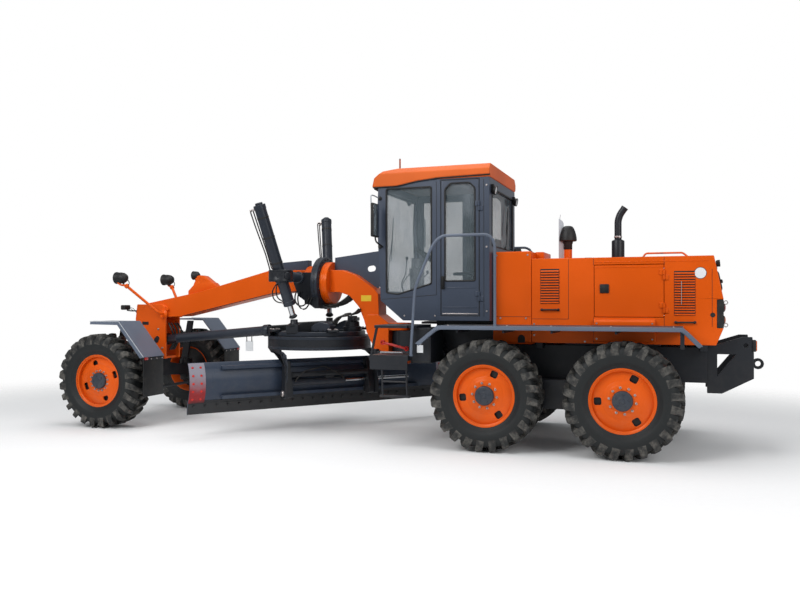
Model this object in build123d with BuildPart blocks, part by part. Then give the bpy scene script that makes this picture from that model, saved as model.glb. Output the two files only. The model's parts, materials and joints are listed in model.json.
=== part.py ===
from build123d import *
import math
import os

os.makedirs("parts", exist_ok=True)

# Driving sizes in millimetres. X runs forward, Y to the machine's left, Z up from the ground.
# Lengths along X are counted from the middle of the rear wheel pair.
WHEELBASE = 6219.0
TANDEM = 1538.0
WHEEL_Y = 1075.0
TYRE_R = 650.0
TYRE_W = 440.0
LUG_HEIGHT = 45.0
LUGS = 16
BEAD_R = 365.0
REAR_REACH = 2280.0
FIT = 0.3
PIN_FIT = 0.1
PIN_SIDES = 16
RUN = 5.0

LENGTH = REAR_REACH + WHEELBASE + TYRE_R
TANDEM_X = REAR_REACH - LENGTH / 2
AXLE_Z = TYRE_R


def side(y):
    """The plane of a side view at y: its x runs forward and its y runs up."""
    return Plane(origin=(TANDEM_X, y, 0), x_dir=(1, 0, 0), z_dir=(0, -1, 0))


def level(z):
    """A level plane at height z."""
    return Plane(origin=(TANDEM_X, 0, z))


def across(x):
    """The plane of a front view at x: its x runs to the left and its y runs up."""
    return Plane(origin=(TANDEM_X + x, 0, 0), x_dir=(0, 1, 0), z_dir=(1, 0, 0))


def slab(points, low, high, mode=Mode.ADD):
    """A side profile of (x, z) points, thick from y = low to y = high."""
    with BuildSketch(side(high)) as face:
        Polygon(*points, align=None)
    extrude(face.sketch, amount=high - low, mode=mode)


def deck(points, low, high, mode=Mode.ADD):
    """A plan of (x, y) points, thick from z = low to z = high."""
    with BuildSketch(level(low)) as face:
        Polygon(*points, align=None)
    extrude(face.sketch, amount=high - low, mode=mode)


def bulk(points, low, high, mode=Mode.ADD):
    """A front profile of (y, z) points, thick from x = low to x = high."""
    with BuildSketch(across(low)) as face:
        Polygon(*points, align=None)
    extrude(face.sketch, amount=high - low, mode=mode)


def block(x, y, z, mode=Mode.ADD):
    """A plain box from its three (low, high) spans."""
    deck([(x[0], y[0]), (x[1], y[0]), (x[1], y[1]), (x[0], y[1])], z[0], z[1], mode)


def sides_of(radius):
    """How many flats stand for a round of this radius."""
    if radius < 30:
        return 6
    return 10 if radius < 120 else 14


def bar(start, end, radius):
    """A bar from start to end whose flats lie within the radius."""
    a = Vector(*start) + Vector(TANDEM_X, 0, 0)
    b = Vector(*end) + Vector(TANDEM_X, 0, 0)
    with BuildSketch(Plane(origin=a, z_dir=b - a)) as face:
        RegularPolygon(radius, sides_of(radius))
    extrude(face.sketch, amount=(b - a).length)


def sleeve(start, end, radius):
    """A hole from start to end round a bar of the radius that slides in it and never turns."""
    a = Vector(*start) + Vector(TANDEM_X, 0, 0)
    b = Vector(*end) + Vector(TANDEM_X, 0, 0)
    with BuildSketch(Plane(origin=a, z_dir=b - a)) as face:
        RegularPolygon(radius + FIT / math.cos(math.pi / sides_of(radius)), sides_of(radius))
    extrude(face.sketch, amount=(b - a).length, mode=Mode.SUBTRACT)


def pin(start, end, radius):
    """A turned pin from start to end, drawn with many flats within its radius."""
    a = Vector(*start) + Vector(TANDEM_X, 0, 0)
    b = Vector(*end) + Vector(TANDEM_X, 0, 0)
    with BuildSketch(Plane(origin=a, z_dir=b - a)) as face:
        RegularPolygon(radius, PIN_SIDES)
    extrude(face.sketch, amount=(b - a).length)


def eye(start, end, radius):
    """The hole in which a pin of this radius turns freely."""
    a = Vector(*start) + Vector(TANDEM_X, 0, 0)
    b = Vector(*end) + Vector(TANDEM_X, 0, 0)
    with BuildSketch(Plane(origin=a, z_dir=b - a)) as face:
        RegularPolygon(radius + PIN_FIT, PIN_SIDES, major_radius=False)
    extrude(face.sketch, amount=(b - a).length, mode=Mode.SUBTRACT)


def tube(points, radius):
    """A tube through points with mitred bends."""
    shifted = [Vector(*point) + Vector(TANDEM_X, 0, 0) for point in points]
    with BuildLine() as path:
        Polyline(*shifted)
    with BuildSketch(Plane(origin=path.line @ 0, z_dir=path.line % 0)) as face:
        RegularPolygon(radius, sides_of(radius))
    sweep(face.sketch, path=path.line, transition=Transition.RIGHT)


def keep(name, piece):
    """Label a finished sub-part and write it."""
    piece.part.label = name
    export_step(piece.part, f"parts/{name}.step")


# Wheels
SIDES = {"left": 1, "right": -1}
AXLES = {"rear": -TANDEM / 2, "mid": TANDEM / 2, "front": WHEELBASE}
CARCASS_R = TYRE_R - LUG_HEIGHT
BULGE_R = 500.0
SHOULDER_IN = 22.0
BEAD_IN = 45.0
FACETS = LUGS
LUG_W = 62.0
LUG_LONG = 186.0
LUG_SLANT = 22.0
LUG_CORNER = LUG_W / 2 * math.cos(math.radians(LUG_SLANT)) + LUG_LONG / 2 * math.sin(math.radians(LUG_SLANT))
LUG_SEAT = math.sqrt(TYRE_R**2 - LUG_CORNER**2)
DISC_OUT = 110.0
DISC_T = 28.0
RIM_WALL = 26.0
HUB_R = 115.0
HUB_OUT = 170.0
HAND_HOLES = 3
HAND_R = 245.0
HAND_SIZE = 90.0
HUB_FACE = WHEEL_Y + DISC_OUT - DISC_T


def wheel_plane(x, y):
    """A plane square to a wheel's axle, its normal pointing out to the left."""
    return Plane(origin=(TANDEM_X + x, y, AXLE_Z), x_dir=(-1, 0, 0), z_dir=(0, 1, 0))


def ring_face(x, y, radius):
    with BuildSketch(wheel_plane(x, y)) as face:
        RegularPolygon(radius, FACETS)
    return face.sketch


def make_tyre(hand):
    """A tyre with two staggered rows of slanted lugs, on the axle at the middle of the rear wheels."""
    x = 0
    centre = hand * WHEEL_Y
    half = TYRE_W / 2
    with BuildPart() as tyre:
        extrude(ring_face(x, centre - half + SHOULDER_IN, CARCASS_R), amount=TYRE_W - 2 * SHOULDER_IN)
        for out in (1, -1):
            shoulder = centre + out * (half - SHOULDER_IN)
            wall = centre + out * half
            bead = centre + out * (half - BEAD_IN)
            loft([ring_face(x, shoulder, CARCASS_R), ring_face(x, wall, BULGE_R)], ruled=True)
            loft(
                [ring_face(x, wall, BULGE_R), ring_face(x, bead, BEAD_R)],
                ruled=True,
                mode=Mode.SUBTRACT,
            )
        extrude(ring_face(x, centre - half, BEAD_R), amount=TYRE_W, mode=Mode.SUBTRACT)
        for row in (1, -1):
            for step in range(LUGS):
                turn = 360 * (step + (0 if row > 0 else 0.5)) / LUGS
                spin = Location((TANDEM_X + x, centre, AXLE_Z), (0, turn, 0))
                seat = Location((0, row * (half - SHOULDER_IN - LUG_LONG / 2), LUG_SEAT), (0, 0, row * LUG_SLANT))
                with Locations(spin * seat):
                    Box(LUG_W, LUG_LONG, 2 * LUG_HEIGHT, align=(Align.CENTER, Align.CENTER, Align.MAX))
    return tyre


def make_rim(hand, front):
    """A rim with its disc, hub and hand holes, on the axle at the middle of the rear wheels."""
    x = 0
    centre = hand * WHEEL_Y
    half = TYRE_W / 2 - BEAD_IN
    with BuildPart() as rim:
        extrude(ring_face(x, centre - half, BEAD_R), amount=2 * half)
        face = centre + hand * (DISC_OUT - DISC_T)
        extrude(
            ring_face(x, face, BEAD_R - RIM_WALL), amount=-hand * (half + DISC_OUT - DISC_T), mode=Mode.SUBTRACT
        )
        extrude(
            ring_face(x, centre + hand * DISC_OUT, BEAD_R - RIM_WALL),
            amount=hand * (half - DISC_OUT),
            mode=Mode.SUBTRACT,
        )
        with BuildSketch(wheel_plane(x, face)) as hub:
            RegularPolygon(HUB_R, 12)
        extrude(hub.sketch, amount=hand * (HUB_OUT - DISC_OUT + DISC_T))
        holes = 4 if front else HAND_HOLES
        with BuildSketch(wheel_plane(x, face)) as hands:
            with PolarLocations(HAND_R if not front else 215, holes, start_angle=90):
                if front:
                    Trapezoid(60, 110, 80)
                else:
                    Rectangle(HAND_SIZE, HAND_SIZE)
        extrude(hands.sketch, amount=hand * (DISC_T + 1), mode=Mode.SUBTRACT)
    return rim


for hand_name, hand in SIDES.items():
    one_tyre = make_tyre(hand)
    rear_rim = make_rim(hand, False)
    front_rim = make_rim(hand, True)
    for axle_name, axle_x in AXLES.items():
        one_rim = front_rim if axle_name == "front" else rear_rim
        with BuildPart() as tyre:
            add(one_tyre.part.moved(Location((axle_x, 0, 0))))
        keep(f"tyre_{axle_name}_{hand_name}", tyre)
        with BuildPart() as rim:
            add(one_rim.part.moved(Location((axle_x, 0, 0))))
        keep(f"rim_{axle_name}_{hand_name}", rim)

# Rear frame with its rails, cross members and the tongue for the frame joint
PIVOT_X = 2200.0
RAIL_OUT = 430.0
RAIL_IN = 330.0
RAIL_LOW = 800.0
RAIL_TOP = 1210.0
FRAME_REAR = -1650.0
RAIL_FRONT = 1600.0
TONGUE_LOW = 1010.0
TONGUE_TOP = 1345.0
TONGUE_R = 130.0
PIN_R = 45.0
LUG_T = 100.0
ART_REAR = (1480.0, 525.0)
ART_FRONT = (2450.0, 335.0)
ART_LOW = TONGUE_LOW
ART_HIGH = TONGUE_LOW + 100
BOX_IN = 600.0
CAB_LOW = 1500.0
HOOD_Y = 600.0
HOOD_LOW = 1240.0

with BuildPart() as rear_frame:
    for hand in SIDES.values():
        rail = [
            (FRAME_REAR, RAIL_LOW),
            (FRAME_REAR, RAIL_TOP),
            (RAIL_FRONT, RAIL_TOP),
            (RAIL_FRONT, TONGUE_LOW),
            (RAIL_FRONT - 300, RAIL_LOW),
        ]
        low, high = sorted((hand * RAIL_IN, hand * RAIL_OUT))
        slab(rail, low, high)
    for cross_x in (FRAME_REAR, -60, 1100):
        block((cross_x, cross_x + 120), (-RAIL_IN, RAIL_IN), (RAIL_LOW + 60, RAIL_TOP - 60))
    deck(
        [(RAIL_FRONT - 250, -RAIL_IN), (RAIL_FRONT, -RAIL_IN), (1850, -240), (2060, -TONGUE_R),
         (PIVOT_X, -TONGUE_R), (PIVOT_X, TONGUE_R), (2060, TONGUE_R), (1850, 240),
         (RAIL_FRONT, RAIL_IN), (RAIL_FRONT - 250, RAIL_IN)],
        TONGUE_LOW,
        TONGUE_TOP,
    )
    bar((PIVOT_X, 0, TONGUE_LOW), (PIVOT_X, 0, TONGUE_TOP), TONGUE_R)
    pin((PIVOT_X, 0, TONGUE_LOW - RUN - LUG_T), (PIVOT_X, 0, TONGUE_TOP + RUN + LUG_T), PIN_R)
    for hand in SIDES.values():
        low, high = sorted((hand * RAIL_OUT, hand * (ART_REAR[1] + 50)))
        block((ART_REAR[0] - 50, ART_REAR[0] + 50), (low, high), (ART_LOW - FIT - 30, ART_LOW - FIT))
        low, high = sorted((hand * RAIL_OUT, hand * BOX_IN))
        block((1450, 1560), (low, high), (1150, RAIL_TOP))
        low, high = sorted((hand * RAIL_IN, hand * RAIL_OUT))
        for x in (900, 1480):
            block((x, x + 100), (low, high), (RAIL_TOP, CAB_LOW))
        low, high = sorted((hand * RAIL_IN, hand * HOOD_Y))
        for x in (FRAME_REAR, 200):
            block((x, x + 80), (low, high), (RAIL_TOP - 40, HOOD_LOW))
keep("rear_frame", rear_frame)

# Rear axle tube and the two chain cases that carry the tandem wheels
CASE_IN = 640.0
CASE_OUT = 820.0
CASE_END = 980.0
CASE_HALF = 170.0
CASE_CORNER = 90.0
STUB_R = 150.0
with BuildPart() as rear_axle:
    bar((0, -CASE_IN, AXLE_Z), (0, CASE_IN, AXLE_Z), 150)
    for hand in SIDES.values():
        with BuildSketch(side(max(hand * CASE_IN, hand * CASE_OUT))) as case:
            with Locations((0, AXLE_Z)):
                Rectangle(2 * CASE_END, 2 * CASE_HALF)
            chamfer(case.vertices(), CASE_CORNER)
        extrude(case.sketch, amount=CASE_OUT - CASE_IN)
        for x in (-TANDEM / 2, TANDEM / 2):
            bar((x, hand * CASE_OUT, AXLE_Z), (x, hand * (HUB_FACE - FIT), AXLE_Z), STUB_R)
        low, high = sorted((hand * RAIL_IN, hand * RAIL_OUT))
        block((-180, 180), (low, high), (AXLE_Z + 100, RAIL_LOW))
keep("rear_axle", rear_axle)

# Rear hitch: two ears with a pull pin bore, a back plate and a tow ring
HITCH_PIN_R = 25.0
HITCH_PIN = (-2060.0, 1232.0)
EAR_IN = 330.0
EAR_OUT = 380.0
with BuildPart() as rear_hitch:
    for hand in SIDES.values():
        low, high = sorted((hand * EAR_IN, hand * EAR_OUT))
        slab(
            [(FRAME_REAR, 1235), (-1740, 1235), (-2030, 1330), (-2130, 1330), (-2145, 1150),
             (-2145, 860), (-1810, 680), (FRAME_REAR, 680)],
            low,
            high,
        )
        slab([(-1760, 1130), (-1960, 1130), (-1760, 880)], low, high, Mode.SUBTRACT)
    block((-2145, -2105), (-EAR_IN, EAR_IN), (860, 1150))
    block((-1750, -1700), (-EAR_IN, EAR_IN), (700, 1200))
    bar((-2170, 0, 1005), (-2145, 0, 1005), 70)
    with BuildSketch(side(25)) as ring:
        with Locations((-2215, 1005)):
            RegularPolygon(65, 12)
            RegularPolygon(32, 12, mode=Mode.SUBTRACT)
    extrude(ring.sketch, amount=50)
    with BuildSketch(side(EAR_OUT + 1)) as pin_bore:
        with Locations(HITCH_PIN):
            Circle(HITCH_PIN_R)
    extrude(pin_bore.sketch, amount=2 * EAR_OUT + 2, mode=Mode.SUBTRACT)
keep("rear_hitch", rear_hitch)

# Engine hood: a hollow shell with louvre slots, side door openings and a rear grille opening
HOOD_FRONT = 330.0
HOOD_TOP = 2252.0
SKIN = 25.0
DOOR_FRONT = -405.0
DOOR_REAR = -1190.0
DOOR_LOW = 1550.0
DOOR_TOP = 2165.0
GAP = 6.0
TAIL_REAR = -1820.0
TAIL_FRONT = -1750.0
TAIL_LOW = 1435.0
TAIL_HIGH = 1755.0
TAIL_IN = 455.0
PANEL_REAR = -1090.0
PANEL_TOP = 1525.0
PANEL_Y = HOOD_Y + 55
WALK_TOP = 1455.0
WALK_T = 45.0
HOOD_LINE = [
    (HOOD_FRONT, HOOD_LOW),
    (HOOD_FRONT, HOOD_TOP),
    (-1720, HOOD_TOP),
    (TAIL_REAR, TAIL_HIGH + 5),
    (TAIL_REAR, TAIL_LOW),
    (-1740, HOOD_LOW),
]
LOUVRES = ((0.0, 220.0, 1710.0, 7), (-1520.0, -1300.0, 1600.0, 7))
SLOT_PITCH = 60.0
SLOT_H = 26.0
GRILLE_Y = 440.0
HINGE_R = 13.0
HINGE_LONG = 60.0
HOOD_HINGES = (1660.0, 2040.0)


def hinge_half(edge, way, face_y, z):
    """One knuckle of a door hinge at z with its leaf, on the side of the edge that way points to."""
    hand = math.copysign(1, face_y)
    pin_x = edge + GAP / 2
    pin_y = face_y + hand * (HINGE_R + FIT)
    bar((pin_x, pin_y, z), (pin_x, pin_y, z + HINGE_LONG), HINGE_R)
    leaf = sorted((face_y, pin_y - hand * 2))
    span = sorted((pin_x + way * GAP / 2, pin_x + way * 50))
    block(span, leaf, (z, z + HINGE_LONG))


with BuildPart() as hood:
    slab(HOOD_LINE, -HOOD_Y, HOOD_Y)
    inner = [
        (HOOD_FRONT - SKIN, HOOD_LOW - 1),
        (HOOD_FRONT - SKIN, HOOD_TOP - SKIN),
        (-1700, HOOD_TOP - SKIN),
        (-1795, 1755),
        (-1795, 1440),
        (-1715, HOOD_LOW - 1),
    ]
    slab(inner, SKIN - HOOD_Y, HOOD_Y - SKIN, Mode.SUBTRACT)
    block((DOOR_REAR, DOOR_FRONT), (-HOOD_Y - 1, HOOD_Y + 1), (DOOR_LOW, DOOR_TOP), Mode.SUBTRACT)
    for rear, front, base, count in LOUVRES:
        for step in range(count):
            z = base + step * SLOT_PITCH
            block((rear, front), (-HOOD_Y - 1, HOOD_Y + 1), (z, z + SLOT_H), Mode.SUBTRACT)
    block((-1900, -1700), (-GRILLE_Y, GRILLE_Y), (1340, 2090), Mode.SUBTRACT)
    for hand in SIDES.values():
        for z in HOOD_HINGES:
            hinge_half(DOOR_REAR, -1, hand * HOOD_Y, z - HINGE_LONG - FIT)
        bulk(
            [(hand * HOOD_Y, WALK_TOP), (hand * PANEL_Y, WALK_TOP), (hand * PANEL_Y, PANEL_TOP - 25),
             (hand * (PANEL_Y - 25), PANEL_TOP), (hand * HOOD_Y, PANEL_TOP)],
            PANEL_REAR,
            DOOR_FRONT,
        )
        low, high = sorted((hand * HOOD_Y, hand * PANEL_Y))
        block((PANEL_REAR, DOOR_FRONT), (low, high), (HOOD_LOW + 30, WALK_TOP - WALK_T))
        low, high = sorted((hand * TAIL_IN, hand * (HOOD_Y + 1)))
        block((TAIL_REAR - 1, TAIL_FRONT), (low, high), (TAIL_LOW, TAIL_HIGH), Mode.SUBTRACT)
keep("hood", hood)

with BuildPart() as tail_lamps:
    for hand in SIDES.values():
        low, high = sorted((hand * TAIL_IN, hand * HOOD_Y))
        block((TAIL_REAR, TAIL_FRONT), (low, high), (TAIL_LOW, TAIL_HIGH))
        for z in (TAIL_LOW + 90, TAIL_HIGH - 90):
            bar((TAIL_REAR - 12, hand * (TAIL_IN + HOOD_Y) / 2, z), (TAIL_REAR, hand * (TAIL_IN + HOOD_Y) / 2, z), 50)
keep("tail_lamps", tail_lamps)

with BuildPart() as radiator_guard:
    for hand in SIDES.values():
        low, high = sorted((hand * 405, hand * GRILLE_Y))
        slab([(-1778, 1345), (-1812, 1435), (-1812, 1755), (-1746, 2085), (-1720, 2085), (-1785, 1760),
              (-1785, 1435), (-1750, 1345)], low, high)
    for step in range(8):
        z = 1400 + step * 84
        lean = -1806 if z < 1740 else -1806 + (z - 1740) * 0.2
        slab([(lean, z), (lean + 20, z + 20), (lean + 20, z + 32), (lean, z + 12)], -405, 405)
keep("radiator_guard", radiator_guard)

for hand_name, hand in SIDES.items():
    low, high = sorted((hand * HOOD_Y, hand * (HOOD_Y - SKIN)))
    with BuildPart() as hood_door:
        block((DOOR_REAR + GAP, DOOR_FRONT - GAP), (low, high), (DOOR_LOW + GAP, DOOR_TOP - GAP))
        outer_low, outer_high = sorted((hand * HOOD_Y, hand * (HOOD_Y + 14)))
        block((DOOR_FRONT - 150, DOOR_FRONT - 90), (outer_low, outer_high), (1850, 1920))
        for z in HOOD_HINGES:
            hinge_half(DOOR_REAR, 1, hand * HOOD_Y, z)
    keep(f"hood_door_{hand_name}", hood_door)

with BuildPart() as engine_block:
    slab([(-1150, RAIL_TOP), (-1150, 1950), (-950, 2050), (-150, 2050), (-50, 1800), (-50, RAIL_TOP)], -RAIL_OUT, RAIL_OUT)
keep("engine_block", engine_block)

with BuildPart() as tank_box:
    slab([(HOOD_FRONT + 4, HOOD_LOW), (HOOD_FRONT + 4, 2345), (804, 2345), (804, HOOD_LOW)], -HOOD_Y, HOOD_Y)
    for hand in SIDES.values():
        low, high = sorted((hand * RAIL_IN, hand * RAIL_OUT))
        block((HOOD_FRONT + 4, 804), (low, high), (RAIL_TOP, HOOD_LOW))
keep("tank_box", tank_box)

# Stack and intake on the hood
STACK_X = -635.0
with BuildPart() as exhaust_stack:
    bar((STACK_X, 0, HOOD_TOP), (STACK_X, 0, 2490), 77)
    tube([(STACK_X, 0, 2480), (STACK_X, 0, 2780), (STACK_X - 90, 0, 2890)], 43)
keep("exhaust_stack", exhaust_stack)

with BuildPart() as air_precleaner:
    bar((-24, 0, HOOD_TOP), (-24, 0, 2500), 50)
    bar((-24, 0, 2500), (-24, 0, 2640), 108)
    bar((-24, 0, 2640), (-24, 0, 2690), 80)
    bar((62, 0, HOOD_TOP), (62, 0, 2790), 18)
keep("air_precleaner", air_precleaner)

# Walkways over the tandem wheels
WALK_OUT = 1250.0
with BuildPart() as walkways:
    for hand in SIDES.values():
        low, high = sorted((hand * HOOD_Y, hand * WALK_OUT))
        slab([(-1395, WALK_TOP - WALK_T), (-1395, WALK_TOP), (1330, WALK_TOP), (1330, WALK_TOP - WALK_T)], low, high)
        low, high = sorted((hand * (WALK_OUT - 50), hand * WALK_OUT))
        slab([(1330, WALK_TOP - WALK_T), (1330, WALK_TOP), (1600, 1240), (1545, 1225)], low, high)
        slab([(-1395, WALK_TOP - WALK_T), (-1395, WALK_TOP), (-1590, 1260), (-1540, 1245)], low, high)
keep("walkways", walkways)

# Cab
CAB_REAR = 810.0
CAB_FRONT = 2250.0
CAB_Y = 760.0
CAB_TOP = 3250.0
WALL = 50.0
CAB_DOOR_REAR = 935.0
CAB_DOOR_FRONT = 1425.0
CAB_DOOR_LOW = 1560.0
CAB_DOOR_TOP = 3235.0
CAB_HINGES = (1800.0, 2900.0)
GLASS_T = 6.0
CAB_LINE = [
    (CAB_REAR, CAB_LOW),
    (CAB_REAR, CAB_TOP),
    (CAB_FRONT, CAB_TOP),
    (CAB_FRONT + 20, 2760),
    (CAB_FRONT - 30, 1750),
    (CAB_FRONT - 330, CAB_LOW),
]
SIDE_WINDOW = [(1545, 1960), (1545, 3160), (2140, 3160), (2140, 1850), (1980, 1830)]
with BuildPart() as cab_shell:
    slab(CAB_LINE, -CAB_Y, CAB_Y)
    slab(
        [(CAB_REAR + WALL, CAB_LOW + WALL), (CAB_REAR + WALL, CAB_TOP + 1), (CAB_FRONT - WALL, CAB_TOP + 1),
         (CAB_FRONT + 20 - WALL, 2760), (CAB_FRONT - 30 - WALL, 1765), (CAB_FRONT - 340, CAB_LOW + WALL)],
        WALL - CAB_Y,
        CAB_Y - WALL,
        Mode.SUBTRACT,
    )
    block((CAB_DOOR_REAR, CAB_DOOR_FRONT), (-CAB_Y - 1, CAB_Y + 1), (CAB_DOOR_LOW, CAB_DOOR_TOP), Mode.SUBTRACT)
    slab(SIDE_WINDOW, -CAB_Y - 1, CAB_Y + 1, Mode.SUBTRACT)
    block((2100, 2400), (-660, 660), (1860, 3160), Mode.SUBTRACT)
    block((700, 900), (-620, 620), (2420, 3130), Mode.SUBTRACT)
    for hand in SIDES.values():
        for z in CAB_HINGES:
            hinge_half(CAB_DOOR_REAR, -1, hand * CAB_Y, z - HINGE_LONG - FIT)
keep("cab_shell", cab_shell)

ROOF_TOP = CAB_TOP + 170
ROOF_Y = CAB_Y + 30
ROOF_REAR = CAB_REAR - 10
VISOR_FRONT = CAB_FRONT + 75
VISOR_LOW = CAB_TOP - 60
EAVES = CAB_TOP + 30
with BuildPart() as cab_roof:
    slab(
        [(ROOF_REAR, EAVES), (ROOF_REAR, ROOF_TOP), (2000, ROOF_TOP), (2190, ROOF_TOP - 30),
         (VISOR_FRONT - 25, ROOF_TOP - 120), (VISOR_FRONT, VISOR_LOW), (2000, VISOR_LOW), (1720, CAB_TOP - 8),
         (1440, EAVES - 12)],
        -ROOF_Y,
        ROOF_Y,
    )
    chamfer(cab_roof.edges().filter_by(Axis.X).group_by(Axis.Z)[-1], 70)
    block((ROOF_REAR, CAB_FRONT), (-CAB_Y, CAB_Y), (CAB_TOP, EAVES))
    block((1400, CAB_FRONT + 8), (-CAB_Y - FIT, CAB_Y + FIT), (VISOR_LOW - 1, CAB_TOP), Mode.SUBTRACT)
    bar((2120, 300, ROOF_TOP - 40), (2120, 300, ROOF_TOP + 200), 8)
keep("cab_roof", cab_roof)

with BuildPart() as cab_glass:
    for hand in SIDES.values():
        low, high = sorted((hand * (CAB_Y - 20), hand * (CAB_Y - 20 - GLASS_T)))
        slab(SIDE_WINDOW, low, high)
    slab([(2235, 1860), (2252, 2760), (2236, 3160), (2229, 3160), (2245, 2760), (2228, 1860)], -660, 660)
    block((CAB_REAR + 20, CAB_REAR + 20 + GLASS_T), (-620, 620), (2420, 3130))
keep("cab_glass", cab_glass)

DOOR_T = 45.0
DOOR_WINDOW = [(990, 1990), (990, 3120), (1060, 3190), (1300, 3190), (1370, 3120), (1370, 1990)]
for hand_name, hand in SIDES.items():
    low, high = sorted((hand * CAB_Y, hand * (CAB_Y - DOOR_T)))
    with BuildPart() as cab_door:
        block((CAB_DOOR_REAR + GAP, CAB_DOOR_FRONT - GAP), (low, high), (CAB_DOOR_LOW + GAP, CAB_DOOR_TOP - GAP))
        slab(DOOR_WINDOW, low - 1, high + 1, Mode.SUBTRACT)
        outer_low, outer_high = sorted((hand * CAB_Y, hand * (CAB_Y + 22)))
        block((1378, 1408), (outer_low, outer_high), (1900, 2040))
        for z in CAB_HINGES:
            hinge_half(CAB_DOOR_REAR, 1, hand * CAB_Y, z)
    keep(f"cab_door_{hand_name}", cab_door)
    low, high = sorted((hand * (CAB_Y - 20), hand * (CAB_Y - 20 - GLASS_T)))
    with BuildPart() as door_glass:
        slab(DOOR_WINDOW, low, high)
    keep(f"door_glass_{hand_name}", door_glass)

with BuildPart() as seat:
    block((1180, 1400), (-160, 160), (CAB_LOW + WALL, 1800))
    block((1080, 1560), (-250, 250), (1800, 1920))
    slab([(1080, 1920), (960, 2560), (1060, 2580), (1200, 1920)], -240, 240)
keep("seat", seat)

with BuildPart() as console:
    slab([(1830, CAB_LOW + WALL), (1960, 2180), (2060, 2180), (2040, 1710), (1870, CAB_LOW + WALL)], -110, 110)
    with BuildSketch(Plane(origin=(TANDEM_X + 1850, 0, 2330), z_dir=(-1, 0, 1.4))) as wheel_face:
        RegularPolygon(190, 16)
        RegularPolygon(165, 16, mode=Mode.SUBTRACT)
        Rectangle(340, 30)
    extrude(wheel_face.sketch, amount=25)
    bar((1850, 0, 2330), (2010, 0, 2120), 22)
keep("console", console)

# Steps, side boxes under the cab and handrails
STEP_LOW = 590.0
with BuildPart() as steps:
    for hand in SIDES.values():
        low, high = sorted((hand * BOX_IN, hand * 1130))
        block((1440, 1690), (low, high), (1000, 1420))
        notch = 1195 if hand > 0 else 1240
        deck(
            [(1600, hand * BOX_IN), (2120, hand * BOX_IN), (2120, hand * 1240), (1700, hand * 1240),
             (1700, hand * notch), (1600, hand * notch)],
            1420,
            1452,
        )
    slab([(1690, 1030), (1690, 1090), (2190, 1090), (2190, 1030)], 780, 1240)
    block((1700, 2180), (1215, 1240), (920, 1030))
    bar((2090, 1225, 1425), (2165, 1225, 1085), 16)
    for x in (2025, 1715):
        bar((x, 1225, 930), (x - 8, 1225, 600), 11)
    block((1670, 2050), (1190, 1240), (STEP_LOW, STEP_LOW + 26))
keep("steps", steps)

RAIL_Y = 1225.0
with BuildPart() as handrails:
    for hand in SIDES.values():
        y = hand * RAIL_Y
        foot_z = 1090 if hand > 0 else 1452
        tube(
            [(1655, y, foot_z), (1655, y, foot_z + 90), (1605, y, 1900), (1390, y, 2400), (1290, y, 2510),
             (700, y, 2510), (640, y, 2420), (640, y, WALK_TOP)],
            17,
        )
keep("handrails", handrails)

MIRROR_ARM_Z = VISOR_LOW - 30
with BuildPart() as mirrors:
    for hand in SIDES.values():
        y = hand * 950
        low, high = sorted((hand * 850, hand * 1060))
        block((2200, 2240), (low, high), (2540, 2960))
        tube([(2220, hand * CAB_Y, MIRROR_ARM_Z), (2220, hand * 900, MIRROR_ARM_Z), (2220, y, 2950)], 14)
keep("mirrors", mirrors)

# Front frame: tower, tapered beam, gooseneck and the two lugs of the frame joint
FRONT_X = WHEELBASE
TOWER_REAR = FRONT_X - 345
TOWER_FRONT = FRONT_X + 191
TOWER_LOW = 890.0
TOWER_TOP = 1700.0
TOWER_Y = 186.0
PLATE = 36.0
BEAM_Y = 150.0
BALL_X = FRONT_X - 190
BALL_Z = 1170.0
BALL_PIN_R = 40.0
RING_Z = 1998.0
RING_SIDES = 18
NECK_R = 240.0
LAMP_REAR = 5440.0
NECK_Y = 180.0
FLANGE_REAR = 3195.0
RING_REAR = 3306.0
RING_T = 100.0
FLANGE_R = 290.0
NECK_FRONT = 3575.0
NECK_TOP = ((3010.0, 2170.0), (2560.0, 1920.0))
BEAM_LINE = [
    (FRONT_X, 1716), (5295, 1885), (4130, 2184), NECK_TOP[0], (2820, 2100), NECK_TOP[1], (2490, 1840),
    (2480, 1560), (2380, TONGUE_TOP + RUN + LUG_T), (2380, 1200), (2600, 1200), (2655, 1340), (2700, 1490),
    (2770, 1660), (2910, 1817), (3056, 1866), (3690, 1876), (4117, 1844), (5610, 1520), (FRONT_X, 1500),
]
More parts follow.
